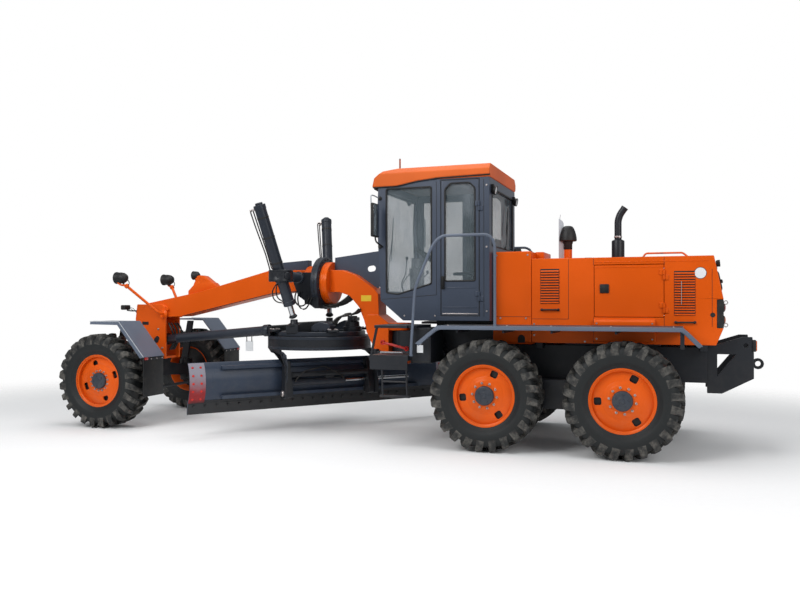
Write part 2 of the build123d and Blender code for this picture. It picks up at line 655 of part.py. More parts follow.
with BuildPart() as front_frame:
    slab(BEAM_LINE, -BEAM_Y, BEAM_Y)
    slab(
        [(2330, TONGUE_LOW - RUN - LUG_T), (2330, TONGUE_TOP + RUN + LUG_T), (2480, 1560), (2640, 1560),
         (2655, 1340), (2560, 1147), (2560, TONGUE_LOW - RUN - LUG_T)],
        -NECK_Y,
        NECK_Y,
    )
    for low in (TONGUE_LOW - RUN - LUG_T, TONGUE_TOP + RUN):
        deck([(2400, -NECK_Y), (2400, NECK_Y), (PIVOT_X, TONGUE_R), (PIVOT_X, -TONGUE_R)], low, low + LUG_T)
        bar((PIVOT_X, 0, low), (PIVOT_X, 0, low + LUG_T), TONGUE_R)
        eye((PIVOT_X, 0, low - 1), (PIVOT_X, 0, low + LUG_T + 1), PIN_R)
    for hand in SIDES.values():
        low, high = sorted((hand * NECK_Y, hand * (ART_FRONT[1] + 50)))
        block((ART_FRONT[0] - 50, ART_FRONT[0] + 50), (low, high), (ART_LOW - FIT - 40, ART_LOW - FIT))
    for hand in SIDES.values():
        low, high = sorted((hand * (TOWER_Y - PLATE), hand * TOWER_Y))
        slab(
            [(TOWER_REAR, TOWER_LOW), (TOWER_REAR, TOWER_TOP - 40), (TOWER_REAR + 60, TOWER_TOP),
             (TOWER_FRONT - 30, TOWER_TOP), (TOWER_FRONT, 1480), (TOWER_FRONT - 60, TOWER_LOW)],
            low,
            high,
        )
    slab([(TOWER_FRONT - 60, 1180), (TOWER_FRONT - 66, 1660), (TOWER_FRONT - 30, 1660), (TOWER_FRONT - 10, 1480),
          (TOWER_FRONT - 24, 1180)], -TOWER_Y, TOWER_Y)
    block((TOWER_REAR + 40, TOWER_FRONT - 60), (-TOWER_Y, TOWER_Y), (TOWER_LOW, TOWER_LOW + PLATE))
    pin((BALL_X, -TOWER_Y - 12, BALL_Z), (BALL_X, TOWER_Y + 12, BALL_Z), BALL_PIN_R)
    slab([(5090, 1920), (5110, 2010), (5330, 2090), (LAMP_REAR, 2090), (LAMP_REAR, 1850)], -60, 60)
    for far, radius in ((NECK_FRONT, NECK_R), (RING_REAR - 1, FLANGE_R)):
        with BuildSketch(across(FLANGE_REAR)) as round_neck:
            with Locations((0, RING_Z)):
                RegularPolygon(radius, RING_SIDES)
        extrude(round_neck.sketch, amount=far - FLANGE_REAR)
    with BuildSketch(side(TOWER_Y + 1)) as tower_slot:
        with Locations((TOWER_REAR + 150, 1175)):
            SlotOverall(110, 70, rotation=-60)
    extrude(tower_slot.sketch, amount=2 * TOWER_Y + 2, mode=Mode.SUBTRACT)
keep("front_frame", front_frame)

# Upright guard plates for the hoses along the top of the gooseneck
GUARD_Y = 8.0
with BuildPart() as hose_guard:
    slab(
        [(NECK_TOP[1][0], NECK_TOP[1][1]), (2410, 2000), (2410, 2445), (FLANGE_REAR - RUN, 2350),
         (FLANGE_REAR - RUN, NECK_TOP[0][1]), (NECK_TOP[0][0], NECK_TOP[0][1])],
        -GUARD_Y,
        GUARD_Y,
    )
    with BuildSketch(side(GUARD_Y + 1)) as guard_hole:
        with Locations((2640, 2190)):
            SlotOverall(120, 80, rotation=-8)
    extrude(guard_hole.sketch, amount=2 * GUARD_Y + 2, mode=Mode.SUBTRACT)
    slab([(NECK_FRONT + RUN, 2150), (NECK_FRONT + RUN, 2320), (3990, 2292), (3990, 2150)], -60, 60)
    slab(BEAM_LINE, -BEAM_Y, BEAM_Y, Mode.SUBTRACT)
keep("hose_guard", hose_guard)

# Saddle ring on the neck with its arms and the two yoke rings for the lift cylinders
LIFT_EYE = (3540.0, 570.0, 1500.0)
TRUNNION = (3643.0, 750.0, 2080.0)
LEAN_X = TRUNNION[0] - LIFT_EYE[0]
LEAN_Y = TRUNNION[1] - LIFT_EYE[1]
LEAN = math.hypot(LEAN_X, LEAN_Y)
LIFT_AXIS = (-LEAN_Y / LEAN, LEAN_X / LEAN)
RING_R = 360.0
CHEEK_IN = 190.0
CHEEK_OUT = 300.0
YOKE_OUT = 160.0
YOKE_IN = 124.0
YOKE_SIDES = 10
YOKE_HALF = 75.0
ARM_R = 62.0
TRUNNION_R = 25.0
with BuildPart() as saddle:
    with BuildSketch(across(RING_REAR)) as ring:
        with Locations((0, RING_Z)):
            RegularPolygon(RING_R, RING_SIDES)
    extrude(ring.sketch, amount=RING_T)
    bulk([(-220, 1645), (220, 1645), (300, 1700), (300, 1830), (-300, 1830), (-300, 1700)], RING_REAR, RING_REAR + RING_T)
    for hand in SIDES.values():
        low, high = sorted((hand * CHEEK_IN, hand * CHEEK_OUT))
        slab(
            [(RING_REAR, 1645), (RING_REAR + 60, 1645), (3620, 1820), (3690, 2000), (3690, 2140), (RING_REAR, 2140)],
            low,
            high,
        )
    block((RING_REAR, 3520), (-CHEEK_OUT, CHEEK_OUT), (1700, 1757))
    with BuildSketch(across(RING_REAR - 10)) as opening:
        with Locations((0, RING_Z)):
            RegularPolygon(NECK_R + FIT / math.cos(math.pi / RING_SIDES), RING_SIDES)
    extrude(opening.sketch, amount=400, mode=Mode.SUBTRACT)
    for hand in SIDES.values():
        y = hand * TRUNNION[1]
        arm_root = (3600, hand * (CHEEK_OUT - 20), TRUNNION[2] - 10)
        arm_collar = (TRUNNION[0] - 12, y - hand * (YOKE_OUT + 50), TRUNNION[2])
        bar(arm_root, (TRUNNION[0], y - hand * (YOKE_IN + 14), TRUNNION[2]), ARM_R)
        bar(arm_collar, (TRUNNION[0], y - hand * (YOKE_IN + 14), TRUNNION[2]), ARM_R + 14)
        low_end = (TRUNNION[0], y, TRUNNION[2] - YOKE_HALF)
        high_end = (TRUNNION[0], y, TRUNNION[2] + YOKE_HALF)
        bar(low_end, high_end, YOKE_OUT)
        with BuildSketch(level(TRUNNION[2] - YOKE_HALF)) as yoke_hole:
            with Locations((TRUNNION[0], y)):
                RegularPolygon(YOKE_IN, YOKE_SIDES)
        extrude(yoke_hole.sketch, amount=2 * YOKE_HALF, mode=Mode.SUBTRACT)
        reach = YOKE_OUT + 40
        eye(
            (TRUNNION[0] - reach * LIFT_AXIS[0], y - hand * reach * LIFT_AXIS[1], TRUNNION[2]),
            (TRUNNION[0] + reach * LIFT_AXIS[0], y + hand * reach * LIFT_AXIS[1], TRUNNION[2]),
            TRUNNION_R,
        )
keep("saddle", saddle)

# Lift cylinders, splayed from the drawbar's studs up through the saddle yokes
BARREL_R = 75.0
LIFT_ROD_R = 38.0
LIFT_GLAND = 200.0
LIFT_TOP = 1590.0
STUD_R = 48.0
STUD_GAP = 0.8
CAP_GAP = STUD_R * math.sin(math.atan2(LEAN, TRUNNION[2] - LIFT_EYE[2])) + STUD_GAP
CAP_H = 45.0
for hand_name, hand in SIDES.items():
    foot = Vector(LIFT_EYE[0], hand * LIFT_EYE[1], LIFT_EYE[2])
    trunnion = Vector(TRUNNION[0], hand * TRUNNION[1], TRUNNION[2])
    along = (trunnion - foot).normalized()

    def at_length(distance):
        point = foot + along * distance
        return (point.X, point.Y, point.Z)

    with BuildPart() as lift_barrel:
        bar(at_length(LIFT_GLAND), at_length(LIFT_TOP), BARREL_R)
        bar(at_length(LIFT_TOP), at_length(LIFT_TOP + 30), BARREL_R - 25)
        reach = YOKE_OUT - 6
        pin(
            (trunnion.X - reach * LIFT_AXIS[0], trunnion.Y - hand * reach * LIFT_AXIS[1], trunnion.Z),
            (trunnion.X + reach * LIFT_AXIS[0], trunnion.Y + hand * reach * LIFT_AXIS[1], trunnion.Z),
            TRUNNION_R,
        )
        sleeve(at_length(LIFT_GLAND - 1), at_length(LIFT_TOP - 60), LIFT_ROD_R)
    keep(f"lift_barrel_{hand_name}", lift_barrel)
    with BuildPart() as lift_rod:
        bar(at_length(CAP_GAP), at_length(CAP_GAP + CAP_H), 58)
        bar(at_length(CAP_GAP + CAP_H - 1), at_length(1150), LIFT_ROD_R)
    keep(f"lift_rod_{hand_name}", lift_rod)

# Front axle, knuckles, tie rod and front fenders
KING_Y = 800.0
KING_R = 45.0
EYE_R = 85.0
BEAM_LOW = 560.0
BEAM_TOP = 740.0
ARM_X = FRONT_X - 250
TIE_PIN_R = 18.0
with BuildPart() as front_axle:
    bulk(
        [(-KING_Y, BEAM_LOW), (-KING_Y, BEAM_TOP), (-700, BEAM_TOP), (-350, 790), (-150, TOWER_LOW), (150, TOWER_LOW), (350, 790),
         (700, BEAM_TOP), (KING_Y, BEAM_TOP), (KING_Y, BEAM_LOW), (350, 600), (-350, 600)],
        FRONT_X - 80,
        FRONT_X + 80,
    )
    for hand in SIDES.values():
        y = hand * KING_Y
        bar((FRONT_X, y, BEAM_LOW), (FRONT_X, y, BEAM_TOP), EYE_R)
        eye((FRONT_X, y, BEAM_LOW - 1), (FRONT_X, y, BEAM_TOP + 1), KING_R)
keep("front_axle", front_axle)

WEB_IN = KING_Y + EYE_R + RUN
FENDER_TOP = 1470.0
FENDER_T = 36.0
for hand_name, hand in SIDES.items():
    y = hand * KING_Y
    with BuildPart() as knuckle:
        pin((FRONT_X, y, BEAM_LOW - RUN - 10), (FRONT_X, y, BEAM_TOP + RUN + 10), KING_R)
        for z in (BEAM_LOW - RUN - 70, BEAM_TOP + RUN):
            bar((FRONT_X, y, z), (FRONT_X, y, z + 70), 72)
            low, high = sorted((y, hand * (WEB_IN + 40)))
            block((FRONT_X - 60, FRONT_X + 60), (low, high), (z, z + 70))
        low, high = sorted((hand * WEB_IN, hand * (WEB_IN + 40)))
        block((FRONT_X - 60, FRONT_X + 60), (low, high), (BEAM_LOW - RUN - 70, BEAM_TOP + RUN + 70))
        bar((FRONT_X, hand * WEB_IN, AXLE_Z), (FRONT_X, hand * (HUB_FACE - FIT), AXLE_Z), 85)
        block((ARM_X - 30, FRONT_X), (y - 26, y + 26), (500, 550))
        eye((ARM_X, y, 499), (ARM_X, y, 551), TIE_PIN_R)
        low, high = sorted((hand * (KING_Y - 20), hand * (KING_Y + 24)))
        slab([(FRONT_X - 60, 810), (FRONT_X - 160, FENDER_TOP - FENDER_T), (FRONT_X - 60, FENDER_TOP - FENDER_T),
              (FRONT_X + 60, 810)], low, high)
    keep(f"knuckle_{hand_name}", knuckle)
    with BuildPart() as front_fender:
        low, high = sorted((hand * 780, hand * 1240))
        slab(
            [(FRONT_X + 130, FENDER_TOP - FENDER_T), (FRONT_X + 130, FENDER_TOP), (FRONT_X - 355, FENDER_TOP),
             (FRONT_X - 755, 1000), (FRONT_X - 755, 450), (FRONT_X - 735, 450), (FRONT_X - 735, 990),
             (FRONT_X - 345, FENDER_TOP - FENDER_T)],
            low,
            high,
        )
    keep(f"front_fender_{hand_name}", front_fender)

with BuildPart() as tie_rod:
    bar((ARM_X, -KING_Y, 472), (ARM_X, KING_Y, 472), 22)
    for hand in SIDES.values():
        pin((ARM_X, hand * KING_Y, 490), (ARM_X, hand * KING_Y, 545), TIE_PIN_R)
        bar((ARM_X, hand * KING_Y, 450), (ARM_X, hand * KING_Y, 495), 30)
keep("tie_rod", tie_rod)

with BuildPart() as lamps:
    for hand in SIDES.values():
        tube([(5900, hand * TOWER_Y, 1560), (5900, hand * 280, 1560), (6300, hand * 560, 1990)], 16)
        low, high = sorted((hand * 470, hand * 650))
        slab([(6270, 1985), (6270, 2150), (6420, 2170), (6450, 2080), (6420, 1995)], low, high)
    block((LAMP_REAR, 5530), (-75, 75), (1990, 2110))
keep("lamps", lamps)

# Drawbar: eye on the tower pin, two converging tubes, ring plate and the studs of the lift cylinders
CIRCLE_X = 3430.0
CIRCLE_SIDES = 26
PLATE_LOW = 1270.0
PLATE_TOP = 1330.0
with BuildPart() as drawbar:
    bar((BALL_X, -110, BALL_Z), (BALL_X, 110, BALL_Z), 88)
    for hand in SIDES.values():
        bar((BALL_X - 20, hand * 40, BALL_Z), (3980, hand * 430, 1345), 64)
    block((3950, 4080), (-480, 480), (PLATE_LOW + 6, 1400))
    with BuildSketch(level(PLATE_LOW)) as plate:
        with Locations((CIRCLE_X, 0)):
            RegularPolygon(640, CIRCLE_SIDES)
            RegularPolygon(420, CIRCLE_SIDES, mode=Mode.SUBTRACT)
    extrude(plate.sketch, amount=PLATE_TOP - PLATE_LOW)
    bulk([(-640, PLATE_TOP - 20), (640, PLATE_TOP - 20), (640, 1420), (500, 1455), (-500, 1455), (-640, 1420)], 3450, 3630)
    for hand in SIDES.values():
        bar((LIFT_EYE[0], hand * LIFT_EYE[1], 1400), (LIFT_EYE[0], hand * LIFT_EYE[1], LIFT_EYE[2]), STUD_R)
    eye((BALL_X, -120, BALL_Z), (BALL_X, 120, BALL_Z), BALL_PIN_R)
keep("drawbar", drawbar)

# Circle, its arms and the blade, laid out along the blade's own line
BLADE_TURN = 38.5
BLADE_LENGTH = 3965.0
BLADE_SHIFT = -65.0
CIRCLE_R = 720.0
CIRCLE_LOW = 1090.0
EDGE_Z = 300.0
BLADE_TOP = 960.0
PIVOT_U = -345.0
PIVOT_Z = 520.0
TIP_PIN_R = 30.0
forward = Vector(math.cos(math.radians(BLADE_TURN)), -math.sin(math.radians(BLADE_TURN)), 0)
leftward = Vector(math.sin(math.radians(BLADE_TURN)), math.cos(math.radians(BLADE_TURN)), 0)


def blade_plane(v):
    """The plane square to the blade at v along it: its x runs ahead of the blade, its y up."""
    origin = Vector(TANDEM_X + CIRCLE_X, 0, 0) + leftward * v
    return Plane(origin=origin, x_dir=forward, z_dir=leftward * -1)


def blade_slab(points, low, high, mode=Mode.ADD):
    with BuildSketch(blade_plane(high)) as face:
        Polygon(*points, align=None)
    extrude(face.sketch, amount=high - low, mode=mode)


def blade_bar(u, z, low, high, radius):
    """A bar along the blade from v = low to v = high."""
    with BuildSketch(blade_plane(high)) as face:
        with Locations((u, z)):
            RegularPolygon(radius, sides_of(radius))
    extrude(face.sketch, amount=high - low)


def blade_pin(low, high):
    """The pin on which the blade tips, from v = low to v = high."""
    with BuildSketch(blade_plane(high)) as face:
        with Locations((PIVOT_U, PIVOT_Z)):
            RegularPolygon(TIP_PIN_R, PIN_SIDES)
    extrude(face.sketch, amount=high - low)


def blade_eye(low, high):
    """The hole in which the blade's pin turns."""
    with BuildSketch(blade_plane(high)) as face:
        with Locations((PIVOT_U, PIVOT_Z)):
            RegularPolygon(TIP_PIN_R + PIN_FIT, PIN_SIDES, major_radius=False)
    extrude(face.sketch, amount=high - low, mode=Mode.SUBTRACT)


def blade_sleeve(u, z, low, high, radius):
    """A hole along the blade round a bar of the radius that slides in it."""
    with BuildSketch(blade_plane(high)) as face:
        with Locations((u, z)):
            RegularPolygon(radius + FIT / math.cos(math.pi / sides_of(radius)), sides_of(radius))
    extrude(face.sketch, amount=high - low, mode=Mode.SUBTRACT)


ARM_IN = 670.0
ARM_OUT = 712.0
with BuildPart() as circle:
    with BuildSketch(level(CIRCLE_LOW)) as ring:
        with Locations((CIRCLE_X, 0)):
            RegularPolygon(CIRCLE_R, CIRCLE_SIDES)
            RegularPolygon(CIRCLE_R - 130, CIRCLE_SIDES, mode=Mode.SUBTRACT)
    extrude(ring.sketch, amount=PLATE_LOW - FIT - CIRCLE_LOW)
    for hand in SIDES.values():
        low, high = sorted((hand * ARM_IN, hand * ARM_OUT))
        blade_slab(
            [(150, 1095), (-200, 1095), (-420, 880), (-420, 460), (-300, 440), (-318, 860), (-262, 1020), (60, 1045)],
            low,
            high,
        )
        blade_eye(low, high)
keep("circle", circle)

BRACKET_IN = 580.0
BRACKET_OUT = ARM_IN - RUN
SHIFT_U = -265.0
SHIFT_Z = 650.0
SHIFT_ROD_R = 25.0
RAIL_LOW_Z = 510.0
RAIL_HIGH_Z = 890.0
RAIL_SECTION = 44.0
RAIL_BACK = -236.0
with BuildPart() as blade_carrier:
    for hand in SIDES.values():
        low, high = sorted((hand * BRACKET_IN, hand * BRACKET_OUT))
        blade_slab(
            [(-242, 460), (-242, 940), (-290, 940), (-385, 560), (-385, 470), (-330, 450)],
            low,
            high,
        )
        for z in (RAIL_LOW_Z, RAIL_HIGH_Z):
            for lip in (z - RAIL_SECTION / 2 - 26, z + RAIL_SECTION / 2 + 2):
                blade_slab([(-242, lip), (-198, lip), (-198, lip + 24), (-242, lip + 24)], low, high)
        pin_low, pin_high = sorted((hand * BRACKET_IN, hand * (ARM_OUT + 14)))
        blade_pin(pin_low, pin_high)
        blade_sleeve(SHIFT_U, SHIFT_Z, low - 1, high + 1, SHIFT_ROD_R + RUN)
    blade_bar(-320, 760, -BRACKET_IN, BRACKET_IN, 38)
    blade_bar(SHIFT_U, SHIFT_Z, -250, BRACKET_IN, 48)
    blade_slab([(-300, 690), (-250, 690), (-290, 760), (-330, 760)], -60, 60)
    blade_sleeve(SHIFT_U, SHIFT_Z, -251, BRACKET_IN - 20, SHIFT_ROD_R)
keep("blade_carrier", blade_carrier)

with BuildPart() as moldboard:
    low = BLADE_SHIFT - BLADE_LENGTH / 2
    high = BLADE_SHIFT + BLADE_LENGTH / 2
    with BuildSketch(blade_plane(high)) as section:
        with BuildLine():
            ThreePointArc((-105, 440), (-190, 690), (-112, BLADE_TOP))
            Line((-112, BLADE_TOP), (-134, BLADE_TOP))
            ThreePointArc((-134, BLADE_TOP), (-212, 690), (-127, 440))
            Line((-127, 440), (-105, 440))
        make_face()
    extrude(section.sketch, amount=high - low)
    blade_slab([(-80, EDGE_Z), (-101, EDGE_Z), (-127, 440), (-112, 470), (-100, 452)], low, high)
    for z, depth in ((RAIL_LOW_Z, -160), (RAIL_HIGH_Z, -160)):
        half = RAIL_SECTION / 2
        blade_slab([(depth, z - half), (depth, z + half), (RAIL_BACK, z + half), (RAIL_BACK, z - half)], -1500, 1500)
    blade_slab([(-205, 620), (-205, 690), (-300, 690), (-300, 620)], -1340, -1300)
    blade_bar(SHIFT_U, SHIFT_Z, -1300, 150, SHIFT_ROD_R)
keep("moldboard", moldboard)

# Articulation cylinders between the rear frame and the gooseneck lugs
ART_BARREL_R = 48.0
ART_ROD_R = 27.0
for hand_name, hand in SIDES.items():
    start = Vector(ART_REAR[0], hand * ART_REAR[1], (ART_LOW + ART_HIGH) / 2)
    end = Vector(ART_FRONT[0], hand * ART_FRONT[1], (ART_LOW + ART_HIGH) / 2)
    along = (end - start).normalized()
    reach = (end - start).length

    def on_cylinder(distance):
        point = start + along * distance
        return (point.X, point.Y, point.Z)

    with BuildPart() as art_barrel:
        bar((start.X, start.Y, ART_LOW), (start.X, start.Y, ART_HIGH), 50)
        bar(on_cylinder(0), on_cylinder(560), ART_BARREL_R)
        sleeve(on_cylinder(120), on_cylinder(561), ART_ROD_R)
    keep(f"art_barrel_{hand_name}", art_barrel)
    with BuildPart() as art_rod:
        bar(on_cylinder(280), on_cylinder(reach), ART_ROD_R)
        bar((end.X, end.Y, ART_LOW), (end.X, end.Y, ART_HIGH), 45)
    keep(f"art_rod_{hand_name}", art_rod)
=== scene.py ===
"""The looks of a motor grader: paint, rubber, glass and fittings over the frame of its solids.

Lengths are in metres. at(x, y, z) counts x from midway between the two rear axles, forwards.
"""

import json
import math

import bmesh
import bpy
from mathutils import Matrix, Vector

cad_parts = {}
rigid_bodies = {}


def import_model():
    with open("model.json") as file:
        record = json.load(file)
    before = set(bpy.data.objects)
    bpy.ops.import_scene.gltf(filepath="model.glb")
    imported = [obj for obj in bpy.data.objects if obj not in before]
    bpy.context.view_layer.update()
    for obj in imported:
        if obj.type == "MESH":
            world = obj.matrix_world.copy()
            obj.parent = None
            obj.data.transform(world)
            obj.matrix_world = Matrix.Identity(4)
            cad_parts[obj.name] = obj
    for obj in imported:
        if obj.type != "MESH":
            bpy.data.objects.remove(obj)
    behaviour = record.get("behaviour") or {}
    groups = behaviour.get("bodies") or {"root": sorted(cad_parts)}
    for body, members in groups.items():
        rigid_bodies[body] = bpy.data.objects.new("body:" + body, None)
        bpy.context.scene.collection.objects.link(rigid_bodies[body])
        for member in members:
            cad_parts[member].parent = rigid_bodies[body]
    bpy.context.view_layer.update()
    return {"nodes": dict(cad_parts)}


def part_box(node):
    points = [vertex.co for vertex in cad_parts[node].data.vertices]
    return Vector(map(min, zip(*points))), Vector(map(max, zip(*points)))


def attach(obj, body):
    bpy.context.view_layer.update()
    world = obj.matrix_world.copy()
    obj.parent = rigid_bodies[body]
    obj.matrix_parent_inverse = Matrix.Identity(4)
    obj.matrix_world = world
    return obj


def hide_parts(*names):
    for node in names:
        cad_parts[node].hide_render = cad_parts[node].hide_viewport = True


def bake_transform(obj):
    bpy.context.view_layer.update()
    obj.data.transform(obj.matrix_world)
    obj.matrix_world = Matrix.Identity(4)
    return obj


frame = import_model()
bpy.ops.object.select_all(action="DESELECT")

TAU = math.tau
HANDS = {"left": 1, "right": -1}
X, Y, Z = Vector((1, 0, 0)), Vector((0, 1, 0)), Vector((0, 0, 1))
ORIGIN = Vector((0, 0, 0))
MERGE = 2e-5
FLAT = math.radians(1)
REAR, FRONT, DRAWBAR = "rear_unit", "front_unit", "drawbar"


def middle(node):
    low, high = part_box(node)
    return (low + high) / 2


TANDEM_X = (middle("tyre_rear_left").x + middle("tyre_mid_left").x) / 2


def at(x, y, z):
    return Vector((TANDEM_X + x, y, z))


# Edit-mode helpers


def alone(piece):
    bpy.ops.object.select_all(action="DESELECT")
    piece.select_set(True)
    bpy.context.view_layer.objects.active = piece
    return piece


class Edit:
    """A piece in edit mode, with all of it selected at the start."""

    def __init__(self, piece):
        self.piece = alone(piece)

    def __enter__(self):
        bpy.ops.object.mode_set(mode="EDIT")
        self.all()
        return self

    def __exit__(self, *stopped):
        bpy.ops.object.mode_set(mode="OBJECT")

    def all(self):
        bpy.ops.mesh.select_mode(type="VERT")
        bpy.ops.mesh.select_all(action="SELECT")

    def pick(self, kind, test):
        """Selects the verts, edges or faces that pass the test."""
        bpy.ops.mesh.select_mode(type={"verts": "VERT", "edges": "EDGE", "faces": "FACE"}[kind])
        bpy.ops.mesh.select_all(action="DESELECT")
        mesh = bmesh.from_edit_mesh(self.piece.data)
        for part in getattr(mesh, kind):
            if test(part):
                part.select_set(True)
        mesh.select_flush_mode()
        bmesh.update_edit_mesh(self.piece.data)

    def extrude(self, step):
        bpy.ops.mesh.extrude_region_move(TRANSFORM_OT_translate={"value": step})

    def chain(self, points, closed=False):
        """Draws a line of edges through the points from one new vertex."""
        bpy.ops.mesh.select_mode(type="VERT")
        bpy.ops.mesh.select_all(action="DESELECT")
        bpy.ops.mesh.primitive_plane_add(size=0.01, location=points[0])
        bpy.ops.mesh.merge(type="CENTER")
        for start, end in zip(points, points[1:] + points[:1] if closed else points[1:]):
            self.extrude(end - start)

    def clean(self):
        self.all()
        bpy.ops.mesh.remove_doubles(threshold=MERGE)
        bpy.ops.mesh.normals_make_consistent(inside=False)


def named(name):
    piece = bpy.context.active_object
    piece.name = name
    piece.data.name = name
    return piece


def settle(piece):
    """Puts the piece's place into its mesh."""
    alone(piece)
    bpy.ops.object.transform_apply(location=True, rotation=True, scale=True)
    return piece


def smooth(piece, degrees=35):
    alone(piece)
    bpy.ops.object.shade_smooth_by_angle(angle=math.radians(degrees), keep_sharp_edges=True)
    return piece


def modify(piece, kind, **settings):
    alone(piece)
    modifier = piece.modifiers.new(kind, kind)
    for key, value in settings.items():
        setattr(modifier, key, value)
    bpy.ops.object.modifier_apply(modifier=modifier.name)
    return piece


def soften(piece, width=0.003, segments=2):
    """Rounds the sharp edges and shades the piece."""
    modify(piece, "BEVEL", width=width, segments=segments, limit_method="ANGLE",
           angle_limit=math.radians(35), use_clamp_overlap=True)
    return smooth(piece, 40)


def block(name, low, high, bevel=0.004, segments=2):
    low, high = Vector(low), Vector(high)
    low, high = Vector(map(min, low, high)), Vector(map(max, low, high))
    bpy.ops.mesh.primitive_cube_add(size=1, location=(low + high) / 2, scale=high - low)
    piece = settle(named(name))
    with Edit(piece):
        bpy.ops.mesh.bevel(offset=bevel, segments=segments, affect="EDGES")
    return smooth(piece)


def drawn(name, points, closed=False):
    """A bare line of edges."""
    bpy.ops.mesh.primitive_plane_add(size=0.01, location=(0, 0, 0))
    piece = settle(named(name))
    with Edit(piece) as edit:
        bpy.ops.mesh.delete(type="VERT")
        edit.chain([Vector(p) for p in points], closed)
        edit.all()
        bpy.ops.mesh.remove_doubles(threshold=MERGE)
    return piece


def plate(name, outline, thick, holes=(), bevel=0.003, segments=2):
    """A flat plate of that outline, with holes, that is thick along the vector."""
    piece = drawn(name, outline, closed=True)
    with Edit(piece) as edit:
        for hole in holes:
            edit.chain(list(hole), closed=True)
        edit.all()
        bpy.ops.mesh.remove_doubles(threshold=MERGE)
        edit.all()
        bpy.ops.mesh.fill(use_beauty=True)
        edit.all()
        bpy.ops.mesh.dissolve_limited(angle_limit=FLAT)
        edit.all()
        edit.extrude(thick)
        edit.clean()
    return soften(piece, bevel, segments)


def lofted(name, sections):
    """A form through sections that have as many points as each other, with closed ends."""
    piece = drawn(name, sections[0], closed=True)
    with Edit(piece) as edit:
        for section in sections[1:]:
            edit.chain(section, closed=True)
        edit.all()
        bpy.ops.mesh.remove_doubles(threshold=MERGE)
        edit.all()
        bpy.ops.mesh.bridge_edge_loops()
        edit.all()
        bpy.ops.mesh.fill_holes(sides=0)
        edit.clean()
    return smooth(piece, 30)


def capped(*outline):
    """An outline with a straight run in to the axis at both ends."""
    return [(outline[0][0], 0), *outline, (outline[-1][0], 0)]


def turned(name, start, way, outline, sides=32, shade=35):
    """A body of revolution: outline holds (distance along the axis, radius) from the start."""
    start, way = Vector(start), Vector(way).normalized()
    out = way.orthogonal().normalized()
    piece = drawn(name, [start + way * along + out * radius for along, radius in outline])
    with Edit(piece) as edit:
        bpy.ops.mesh.spin(steps=sides, angle=TAU, center=start, axis=way)
        edit.clean()
    return smooth(piece, shade)


def rod(name, start, end, radius, bevel=0.003, sides=24):
    """A round bar from start to end with rounded rims."""
    start, end = Vector(start), Vector(end)
    far = (end - start).length
    return turned(name, start, end - start, capped((0, radius - bevel), (bevel, radius),
        (far - bevel, radius), (far, radius - bevel)), sides)


def ring(name, centre, way, outer, inner, thick, bevel=0.004, sides=48):
    """A flat ring, thick along its axis on both sides of the centre."""
    half = thick / 2
    outline = [(-half, inner + bevel), (-half, outer - bevel), (bevel - half, outer), (half - bevel, outer),
               (half, outer - bevel), (half, inner + bevel), (half - bevel, inner), (bevel - half, inner),
               (-half, inner + bevel)]
    return turned(name, centre, way, outline, sides)


def pipe(name, points, radius, bend=0.05, closed=False, sides=4):
    """A bent tube: a drawn line with rounded corners, swept by a round section."""
    piece = drawn(name, points, closed)
    with Edit(piece) as edit:
        if bend:
            edit.pick("verts", lambda vert: len(vert.link_edges) == 2)
            bpy.ops.mesh.bevel(offset=bend, segments=5, affect="VERTICES")
    alone(piece)
    bpy.ops.object.convert(target="CURVE")
    curve = bpy.context.active_object.data
    curve.bevel_depth = radius
    curve.bevel_resolution = sides
    curve.use_fill_caps = True
    bpy.ops.object.convert(target="MESH")
    return smooth(named(name), 50)


def arc(centre, right, up, radius, start, end, steps):
    """Points on a round stretch, angles in degrees from right towards up."""
    turns = [math.radians(start + (end - start) * step / steps) for step in range(steps + 1)]
    return [centre + right * radius * math.cos(turn) + up * radius * math.sin(turn) for turn in turns]


def rounded(centre, right, up, width, height, corner, steps=4):
    """A rounded rectangle's outline."""
    points = []
    for start, across, along in ((0, 1, 1), (90, -1, 1), (180, -1, -1), (270, 1, -1)):
        pivot = centre + right * across * (width / 2 - corner) + up * along * (height / 2 - corner)
        points += arc(pivot, right, up, corner, start, start + 90, steps)
    return points


def copied(piece, name, place):
    """A copy with its own mesh, moved by a matrix."""
    twin = bpy.data.objects.new(name, piece.data.copy())
    bpy.context.scene.collection.objects.link(twin)
    twin.data.transform(place)
    return twin


def joined(name, pieces):
    alone(pieces[0])
    for piece in pieces:
        piece.select_set(True)
    bpy.ops.object.join()
    return named(name)


def spread(name, seed, places):
    """The seed piece copied to each place, as one piece."""
    pieces = [copied(seed, name, place) for place in places]
    bpy.data.objects.remove(seed)
    return joined(name, pieces)


def about(centre, axis, angle):
    return Matrix.Translation(centre) @ Matrix.Rotation(angle, 4, axis) @ Matrix.Translation(-centre)


# Materials


def srgb(red, green, blue):
    def linear(value):
        value /= 255
        return value / 12.92 if value <= 0.04045 else ((value + 0.055) / 1.055) ** 2.4
    return (linear(red), linear(green), linear(blue), 1)


def scaled(colour, factor):
    return tuple(c * factor for c in colour[:3]) + (1,)


class Shade:
    """A socket on which Python's operators add Math nodes."""

    def __init__(self, finish, socket):
        self.finish = finish
        self.socket = socket

    def math(self, operation, first, second):
        return self.finish.node("Math", {0: first, 1: second}, operation=operation)

    def __add__(self, other):
        return self.math("ADD", self, other)

    def __sub__(self, other):
        return self.math("SUBTRACT", self, other)

    def __rsub__(self, other):
        return self.math("SUBTRACT", other, self)

    def __mul__(self, other):
        return self.math("MULTIPLY", self, other)

    __radd__ = __add__
    __rmul__ = __mul__


